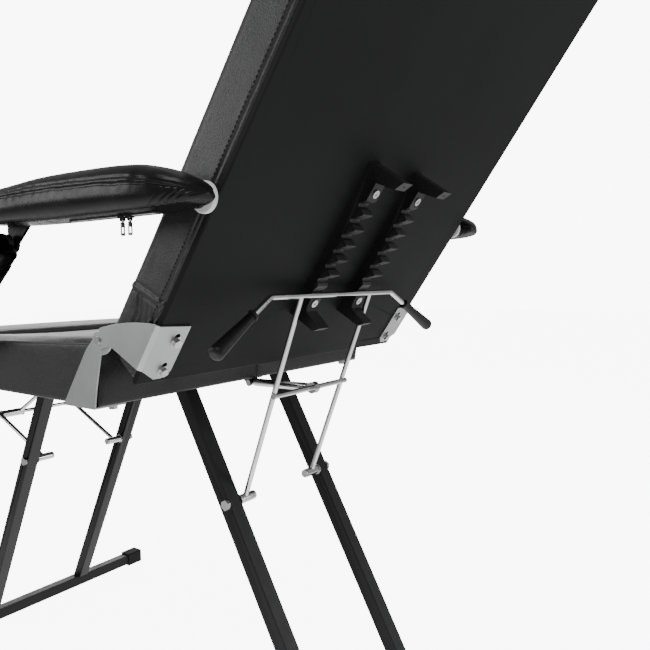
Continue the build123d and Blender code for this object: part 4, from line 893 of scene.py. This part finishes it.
# Along the pad from its rear tip: share of the length, width, underside, top and shift outward
PAD_TABLE = np.array((
    (0, 0.2, 0.23, 0.36, -0.22),
    (0.012, 0.54, 0.15, 0.47, -0.15),
    (0.035, 0.76, 0.085, 0.6, -0.08),
    (0.085, 0.91, 0.03, 0.76, -0.02),
    (0.165, 0.98, 0, 0.88, 0),
    (0.27, 1, 0, 0.92, 0),
    (0.475, 1, 0, 0.94, 0),
    (0.68, 1, 0.02, 0.86, 0),
    (0.87, 0.97, 0.1, 0.77, 0),
    (0.95, 0.88, 0.15, 0.7, 0),
    (0.985, 0.66, 0.21, 0.6, 0),
    (1, 0.36, 0.3, 0.5, 0),
))
PAD_END_ROUND = 0.005
PAD_INSET = 0.0012
PAD_SEAMS = (0.53, 0.655)
PAD_SEAM_RISE = 0.3
PAD_INSET_UP = 0.6
PAD_LEAST_UP = 0.012
PAD_LEAST_ACROSS = 0.001
PAD_TIP = 0.0004
PAD_ZIP_SPAN = (0.055, 0.215)
# Rows of points along the pad: from, to and step, close together at its tips
PAD_ROWS = (
    (0.0006, 0.006, 0.0012),
    (0.006, 0.05, 0.0019),
    (0.05, 0.09, 0.0035),
    (0.09, PAD_LENGTH - 0.03, 0.0062),
    (PAD_LENGTH - 0.03, PAD_LENGTH - 0.006, 0.003),
)


def eased(places, values, where):
    """Values between a table's rows, along a smooth curve that never overshoots them."""
    gaps = np.diff(places)
    rise = np.diff(values) / gaps
    slopes = np.zeros(len(values))
    slopes[0], slopes[-1] = rise[0], rise[-1]
    for number in range(1, len(values) - 1):
        before, after = rise[number - 1], rise[number]
        if before * after > 0:
            slopes[number] = 2 * before * after / (before + after)
    cell = np.clip(np.searchsorted(places, where) - 1, 0, len(gaps) - 1)
    gap = gaps[cell]
    share = (where - places[cell]) / gap
    back = 1 - share
    from_start = (1 + 2 * share) * back ** 2 * values[cell] + share * back ** 2 * gap * slopes[cell]
    from_end = share ** 2 * (3 - 2 * share) * values[cell + 1]
    return from_start + from_end - share ** 2 * back * gap * slopes[cell + 1]


def bend(start, through, end, count):
    """Places from start towards end along a curve that passes through a middle place."""
    start, through, end = np.array(start), np.array(through), np.array(end)
    pull = 2 * through - (start + end) / 2
    shares = np.arange(count) / count
    return [tuple((1 - t) ** 2 * start + 2 * t * (1 - t) * pull + t * t * end) for t in shares]


PAD_HALF_OUTLINE = (
    bend((0, 0), (0.31, 0), (0.62, 0), 6)
    + bend((0.62, 0), (0.91, 0.12), (1, 0.35), 8)
    + bend((1, 0.35), (0.87, 0.78), (0.5, 0.96), 16)
    + bend((0.5, 0.96), (0.26, 0.992), (0, 1), 6)
    + [(0, 1)]
)
# Curved folds under the rear tip: distance from it at the seam, further reach below, and depth
PAD_FOLDS = (
    (0.0045, 0.014, 0.0011), (0.0085, 0.018, 0.0015), (0.0135, 0.022, 0.0013), (0.021, 0.025, 0.0008),
)
PAD_FOLD_WIDTH = 0.0011
PAD_RISE, PAD_RISE_GAP, PAD_RISE_WIDTH = 0.5, 0.0022, 0.0014
# The seams' wander, and how far from the rear tip they go on rising
PAD_WANDER, PAD_WANDER_SLOW, PAD_WANDER_FAST = 0.018, 0.034, 0.013
PAD_SEAM_RISE_END = 0.32


def seam_height(number, places, sign):
    """Height share of a pad's seam: it wanders a little along the pad."""
    wander = [
        noise.noise(Vector((place / PAD_WANDER_SLOW, number * 3.7, sign * 2.0)))
        + 0.5 * noise.noise(Vector((place / PAD_WANDER_FAST, number * 9.1, sign)))
        for place in places
    ]
    rise = PAD_SEAM_RISE * np.minimum(places, PAD_SEAM_RISE_END)
    return PAD_SEAMS[number] + rise + PAD_WANDER * np.array(wander)


def pad_shell(sign):
    """One pad's points, their (across, along, up) places on a plain bar, and its faces."""
    ring = PAD_HALF_OUTLINE + [(-across, up) for across, up in PAD_HALF_OUTLINE[-2:0:-1]]
    count = len(ring)
    rows = {place for span in PAD_ROWS for place in np.arange(*span)}
    rows.update(PAD_LENGTH - np.arange(*PAD_ROWS[0]))
    rows = np.array(sorted(rows))
    shares = rows / PAD_LENGTH
    width, base, top, shift = (
        eased(PAD_TABLE[:, 0], PAD_TABLE[:, column], shares) for column in range(1, 5))
    from_end = np.minimum(rows, PAD_LENGTH - rows)
    tuck = np.sqrt(np.clip(1 - (1 - np.minimum(from_end / PAD_END_ROUND, 1)) ** 2, 0, 1))
    points = []
    flat = []
    for number, row in enumerate(rows):
        middle_up = (base[number] + top[number]) / 2
        half_up = (top[number] - base[number]) / 2 * tuck[number] - PAD_INSET / PAD_HEIGHT * PAD_INSET_UP
        half_up = max(half_up, PAD_LEAST_UP)
        half_across = max(PAD_WIDTH / 2 * width[number] * tuck[number] - PAD_INSET, PAD_LEAST_ACROSS)
        middle = sign * (PAD_MIDDLE + PAD_WIDTH * shift[number])
        for across, up in ring:
            height = PAD_LOW.z + PAD_HEIGHT * (middle_up + half_up * (2 * up - 1))
            points.append((middle + across * half_across, PAD_HIGH.y - row, height))
            flat.append((across, row, up))
    faces = ring_faces(len(rows), count)
    for first, way in ((0, 1), ((len(rows) - 1) * count, -1)):
        pole = len(points)
        middle = np.mean([points[index] for index in range(first, first + count)], axis=0)
        points.append(tuple(middle + np.array((0, way * PAD_TIP, 0))))
        flat.append((0, 0 if way > 0 else PAD_LENGTH, 0.5))
        faces.extend((pole, first + (step + 1) % count, first + step)[::way] for step in range(count))
    return np.array(points), np.array(flat), faces


# What the simulation holds: the underside, the tips and the seams; and how far the rest may move
PAD_FOOT, PAD_TIP_HELD, PAD_SEAM_HALF = 0.03, 0.004, 0.0012
PAD_TIP_HOLD, PAD_SEAM_HOLD = 0.9, 0.6
PAD_PUFF, PAD_PRESSURE = 0.0022, 4.0
PAD_SIDE = (0.05, 0.93)
PAD_FADE = 0.012
# The seams' valleys, the welt between them, and the puckers beside them
PAD_VALLEY, PAD_VALLEY_WIDTH = 0.0012, 0.0012
PAD_WELT, PAD_WELT_EDGE = 0.0009, 0.0016
PAD_PUCKER, PAD_PUCKER_REACH, PAD_PUCKER_GRAIN = 0.0005, 0.007, 0.011
PAD_PUCKER_STRETCH, PAD_SWELL_STRETCH = np.array((0.03, 1, 0.05)), np.array((0.04, 1, 0.05))
PAD_SWELL, PAD_SWELL_GRAIN = 0.0006, 0.07
PAD_FOLD_SPAN = (0.01, PAD_SEAMS[0] - 0.02)
# Its least height at the zip and beside it, over the underside, and how far it may go inward
PAD_ZIP_UNDER, PAD_ZIP_ROOM, PAD_ROOM, PAD_INNER_ROOM = 0.02, 0.0002, -0.0001, 0.0002


def pad_relief(flat, low_gap, high_gap, sign):
    """Height of a pad's seams, welt, puckers and folds over its smooth shape."""
    along, up = flat[:, 1], flat[:, 2]
    ends = np.clip(np.minimum(along, PAD_LENGTH - along) / PAD_FADE, 0, 1)
    band = np.clip(np.minimum(low_gap, -high_gap) / PAD_WELT_EDGE, 0, 1)
    seams = valley(low_gap, PAD_VALLEY_WIDTH) + valley(high_gap, PAD_VALLEY_WIDTH)
    beside = valley(low_gap, PAD_PUCKER_REACH) + valley(high_gap, PAD_PUCKER_REACH)
    pucker = smooth_noise(flat * PAD_PUCKER_STRETCH, PAD_PUCKER_GRAIN, 4 + sign)
    step = (PAD_WELT * band - PAD_VALLEY * seams + PAD_PUCKER * pucker * beside) * ends
    step += PAD_SWELL * smooth_noise(flat * PAD_SWELL_STRETCH, PAD_SWELL_GRAIN, 9 + sign)
    step *= (up > PAD_SIDE[0]) & (up < PAD_SIDE[1])
    drop = np.clip(1 - up / PAD_SEAMS[0], 0, 1)
    below = (up > PAD_FOLD_SPAN[0]) & (up < PAD_FOLD_SPAN[1])
    for start, reach, depth in PAD_FOLDS:
        gap = along - start - reach * drop ** 2
        rise = PAD_RISE * valley(gap + PAD_RISE_GAP, PAD_RISE_WIDTH)
        step += depth * (rise - valley(gap, PAD_FOLD_WIDTH)) * below
    return step


def armrest_cover(side, sign):
    """One armrest's cover, puffed between its seams."""
    points, flat, faces = pad_shell(sign)

    def seam_distances(places):
        span = (PAD_TABLE[:, 3] - PAD_TABLE[:, 2]) * PAD_HEIGHT
        tall = np.interp(places[:, 1] / PAD_LENGTH, PAD_TABLE[:, 0], span)
        return [
            (places[:, 2] - seam_height(number, places[:, 1], sign)) * tall
            for number in range(len(PAD_SEAMS))
        ]

    near = np.min(np.abs(seam_distances(flat)), axis=0)
    held = np.where(flat[:, 2] < PAD_FOOT, 1.0, np.where(near < PAD_SEAM_HALF, PAD_SEAM_HOLD, 0.0))
    tips = (flat[:, 1] < PAD_TIP_HELD) | (flat[:, 1] > PAD_LENGTH - PAD_TIP_HELD)
    held = np.where(tips, PAD_TIP_HOLD, held)
    moved = capped(points, puffed(points, faces, held, PAD_PRESSURE), PAD_PUFF)
    fine, fine_faces = finer(moved, faces)
    flat, _ = finer(flat, faces, "SIMPLE")
    flat[:, 1] = np.clip(flat[:, 1], 0, PAD_LENGTH)
    step = pad_relief(flat, *seam_distances(flat), sign)
    fine = fine + normals_of(fine, fine_faces) * step[:, None]
    zipped = (
        (flat[:, 1] > PAD_ZIP_SPAN[0]) & (flat[:, 1] < PAD_ZIP_SPAN[1]) & (flat[:, 2] < PAD_ZIP_UNDER))
    fine[:, 2] = np.maximum(fine[:, 2], PAD_LOW.z + np.where(zipped, PAD_ZIP_ROOM, PAD_ROOM))
    fine[:, 0] = sign * np.maximum(sign * fine[:, 0], PAD_INNER - PAD_INNER_ROOM)
    padded_piece(
        f"armrest_cover_{side}", fine, fine_faces, f"armrest_{side}", f"arm_pad_{side}")


# Zip teeth: two interlocked rows under the tape
TOOTH_PITCH = 0.0022
TOOTH_SIZE = (0.0013, 0.0008, 0.0005)
TOOTH_SHIFT = 0.0009
TOOTH_END = 0.003
TOOTH_OUTLINE = (
    (1, 0.4), (0.6, 1), (-0.6, 1), (-1, 0.4), (-1, -0.4), (-0.6, -1), (0.6, -1), (1, -0.4),
)
TOOTH_LEVELS = ((-1, 0.6), (-0.5, 0.95), (1, 1.0))
ZIP_LOW, ZIP_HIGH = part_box("arm_zipper_left")
ZIP_TAPE_UNDER = PAD_LOW.z - 0.0006
ZIP_SLIDER_SPAN = ((0.3787, 0.3880), (0.3662, 0.3755))


def zip_teeth(side, sign):
    """Both rows of teeth of one armrest's zip, as small rounded lugs."""
    parts = []
    half_x, half_y, half_z = TOOTH_SIZE
    corners = len(TOOTH_OUTLINE)
    last = corners * (len(TOOTH_LEVELS) - 1)
    places = np.arange(ZIP_LOW.y + TOOTH_END, ZIP_HIGH.y - TOOTH_END, TOOTH_PITCH / 2)
    for number, y in enumerate(places):
        if any(low < y < high for low, high in ZIP_SLIDER_SPAN):
            continue
        x = sign * PAD_MIDDLE + (TOOTH_SHIFT if number % 2 else -TOOTH_SHIFT)
        points = [
            (x + over_x * half_x * wide, y + over_y * half_y * wide / 2, ZIP_TAPE_UNDER + level * half_z)
            for level, wide in TOOTH_LEVELS for over_x, over_y in TOOTH_OUTLINE
        ]
        ends = [tuple(range(corners))[::-1], tuple(range(last, last + corners))]
        faces = ends + ring_faces(len(TOOTH_LEVELS), corners)
        parts.append((points, faces))
    points, faces = join_meshes(parts)
    piece = place_mesh(f"zip_teeth_{side}", points, faces, LOOKS["bolt_steel"], f"armrest_{side}")


for side, sign in SIDES.items():
    armrest_cover(side, sign)
    zip_teeth(side, sign)

# Post sleeves: padded vinyl sleeves drawn over the armrests' posts, creased near their tops

POST_MIDDLE = 0.335
SLEEVE_LOW = (-0.0164, -0.0158, 0.0345)
SLEEVE_HIGH = (0.0164, 0.0288, 0.2608)
SLEEVE_ROLL = 0.0092
# The cells of the sleeve's grid, its puff, and the strip at both ends that is held
SLEEVE_CELL, SLEEVE_LONG_CELL = 0.005, 0.006
SLEEVE_PUFF, SLEEVE_PRESSURE = 0.0014, 3.0
SLEEVE_HELD = 0.006
# The seam along its outer side, and the hem below its top: place and width of their grooves
SLEEVE_SEAM = (SLEEVE_LOW[1] + SLEEVE_HIGH[1]) / 2 + 0.006
SLEEVE_SEAM_DEPTH, SLEEVE_SEAM_WIDTH, SLEEVE_WALL = 0.0010, 0.0011, 0.012
SLEEVE_HEM, SLEEVE_HEM_DEPTH, SLEEVE_HEM_WIDTH = 0.030, 0.0011, 0.0012
# Its creases and its swell, stronger round the hem: height, grain and the creases' width
SLEEVE_CREASE, SLEEVE_CREASE_GRAIN, SLEEVE_CREASE_WIDTH = 0.0013, 0.026, 0.11
SLEEVE_SWELL, SLEEVE_SWELL_GRAIN = 0.0007, 0.02
SLEEVE_GATHER, SLEEVE_LEAST_GATHER = 0.06, 0.25
SLEEVE_FADE, SLEEVE_LIMIT = 0.01, 0.0169


def post_matrix(sign):
    """Local x across the chair, y rearward and down from the post, z along it."""
    run = Vector(JOINT_PLACE["arm_swing_left"]) - Vector(JOINT_PLACE["back_recline"])
    run = Vector((0, run.y, run.z)).normalized()
    across = Vector((1, 0, 0))
    turn = Matrix((across, run.cross(across), run)).transposed().to_4x4()
    _, foot_y, foot_z = JOINT_PLACE["post_swing_left"]
    return Matrix.Translation((sign * POST_MIDDLE, foot_y, foot_z)) @ turn


def sleeve_cover(side, sign):
    """One post's sleeve."""
    low, high = SLEEVE_LOW, SLEEVE_HIGH
    xs = spread(low[0], high[0], SLEEVE_CELL, ROLL_STEPS[:2], ())
    ys = spread(low[1], high[1], SLEEVE_CELL, ROLL_STEPS[:2], (SLEEVE_SEAM,))
    zs = spread(low[2], high[2], SLEEVE_LONG_CELL, ROLL_STEPS, (high[2] - SLEEVE_HEM,))
    flat, faces = box_grid(xs, ys, zs)
    rest = rounded_box(flat, low, high, SLEEVE_ROLL, SLEEVE_ROLL)
    held = (flat[:, 2] < low[2] + SLEEVE_HELD) | (flat[:, 2] > high[2] - SLEEVE_HELD)
    moved = capped(rest, puffed(rest, faces, np.where(held, 1.0, 0.0), SLEEVE_PRESSURE), SLEEVE_PUFF)
    fine, fine_faces = finer(moved, faces)
    flat, _ = finer(flat, faces, "SIMPLE")
    x, y, z = flat.T
    from_top = high[2] - z
    gather = valley(from_top - SLEEVE_HEM, SLEEVE_GATHER)
    gather = SLEEVE_LEAST_GATHER + (1 - SLEEVE_LEAST_GATHER) * gather
    sheared = np.stack((x, y * 0.7 + z * 0.35, z * 1.5), axis=1)
    crease = creased(sheared, SLEEVE_CREASE_GRAIN, 3 + sign, SLEEVE_CREASE_WIDTH)
    step = -SLEEVE_CREASE * gather * crease
    step += SLEEVE_SWELL * gather * smooth_noise(sheared, SLEEVE_SWELL_GRAIN, 6 + sign)
    step -= SLEEVE_HEM_DEPTH * valley(from_top - SLEEVE_HEM, SLEEVE_HEM_WIDTH)
    outer = sign * x > SLEEVE_WALL
    step -= SLEEVE_SEAM_DEPTH * outer * valley(y - SLEEVE_SEAM, SLEEVE_SEAM_WIDTH)
    ends = np.clip(np.minimum(from_top, z - low[2]) / SLEEVE_FADE, 0, 1)
    fine = fine + normals_of(fine, fine_faces) * (step * ends)[:, None]
    fine[:, 0] = np.clip(fine[:, 0], -SLEEVE_LIMIT, SLEEVE_LIMIT)
    fine[:, 1] = np.maximum(fine[:, 1], low[1] - 0.0005)
    matrix = post_matrix(sign)
    world = np.array([matrix @ Vector(point) for point in fine])
    padded_piece(
        f"sleeve_cover_{side}", world, fine_faces, f"post_{side}", f"post_sleeve_{side}")


for side, sign in SIDES.items():
    sleeve_cover(side, sign)

# Stage, light and camera


def area_light(name, place, target, size, power):
    light = bpy.data.lights.new(name, "AREA")
    light.shape = "RECTANGLE"
    light.size, light.size_y = size
    light.energy = power
    lamp = add_object(name, light)
    lamp.location = place
    toward = Vector(target) - Vector(place)
    lamp.rotation_euler = toward.to_track_quat("-Z", "Y").to_euler()
    lamp.visible_camera = False


WHITE = (1, 1, 1, 1)
FLOOR_HALF = 14.0
FLOOR_GLOW = 8.3


def bright_floor(kit):
    """A white floor that glows."""
    kit.color(kit.noise(3, 2), (0.86, 0.86, 0.86), (0.88, 0.88, 0.88))
    kit.set(Roughness=0.9, Emission_Color=WHITE, Emission_Strength=FLOOR_GLOW)


corners = ((-1, -1), (1, -1), (1, 1), (-1, 1))
floor_mesh = new_mesh("floor", [(x * FLOOR_HALF, y * FLOOR_HALF, 0) for x, y in corners], [(0, 1, 2, 3)])
floor_mesh.materials.append(material(bright_floor, "floor"))
floor = add_object("floor", floor_mesh)
floor.visible_diffuse = False
floor.visible_glossy = False

# The studio: a white backdrop behind the object; what lights it is dimmer above the horizon than below
SURROUND_LIGHT = 0.36
FLOOR_BOUNCE = 1.9
BACKDROP_LIGHT = 9.0
BOUNCE_END, SURROUND_START = -0.75, -0.2
scene.world = bpy.data.worlds.new("studio")
studio = Nodes(scene.world, "Background")
split = studio.new("ShaderNodeSeparateXYZ")
studio.link(studio.coordinates.node.outputs["Generated"], split.inputs["Vector"])
strength = studio.ramp(
    split.outputs["Z"], BOUNCE_END, SURROUND_START, FLOOR_BOUNCE, SURROUND_LIGHT)
studio.link(strength, studio.shader.inputs["Strength"])
studio.set(Color=WHITE)
backdrop = studio.new("ShaderNodeBackground", Color=WHITE, Strength=BACKDROP_LIGHT)
chosen = studio.new("ShaderNodeMixShader")
studio.link(studio.new("ShaderNodeLightPath").outputs["Is Camera Ray"], chosen.inputs["Fac"])
for place, source in enumerate((studio.shader, backdrop), 1):
    studio.link(source.outputs["Background"], chosen.inputs[place])
studio.link(chosen.outputs["Shader"], studio.tree.nodes["World Output"].inputs["Surface"])

# Lamps: place, what they point at, width and height, and power
LAMPS = {
    "key": ((1.0, 1.1, 2.9), (0, 0.1, 0.6), (1.4, 1.4), 38),
    "side": ((2.1, -1.9, 1.75), (0.3, 0.25, 0.85), (1.3, 1.6), 29),
    "front": ((-1.9, -3.2, 1.25), (0, 0, 0.7), (2.8, 1.3), 34),
    "rear": ((-1.7, 2.5, 0.85), (0.1, 0.4, 0.7), (0.45, 1.5), 9),
}
for name, values in LAMPS.items():
    area_light(name, *values)

turn = (
    Matrix.Rotation(math.pi - CAMERA_YAW, 4, "Z")
    @ Matrix.Rotation(math.pi / 2 + CAMERA_PITCH, 4, "X")
    @ Matrix.Rotation(CAMERA_ROLL, 4, "Z")
)
camera_data = bpy.data.cameras.new("camera")
camera_data.sensor_width = SENSOR
camera_data.lens = FOCAL_PIXELS / PHOTO_PIXELS * SENSOR
camera_data.clip_start = 0.02
camera = add_object("camera", camera_data)
camera.matrix_world = Matrix.Translation(CAMERA_PLACE) @ turn
scene.camera = camera
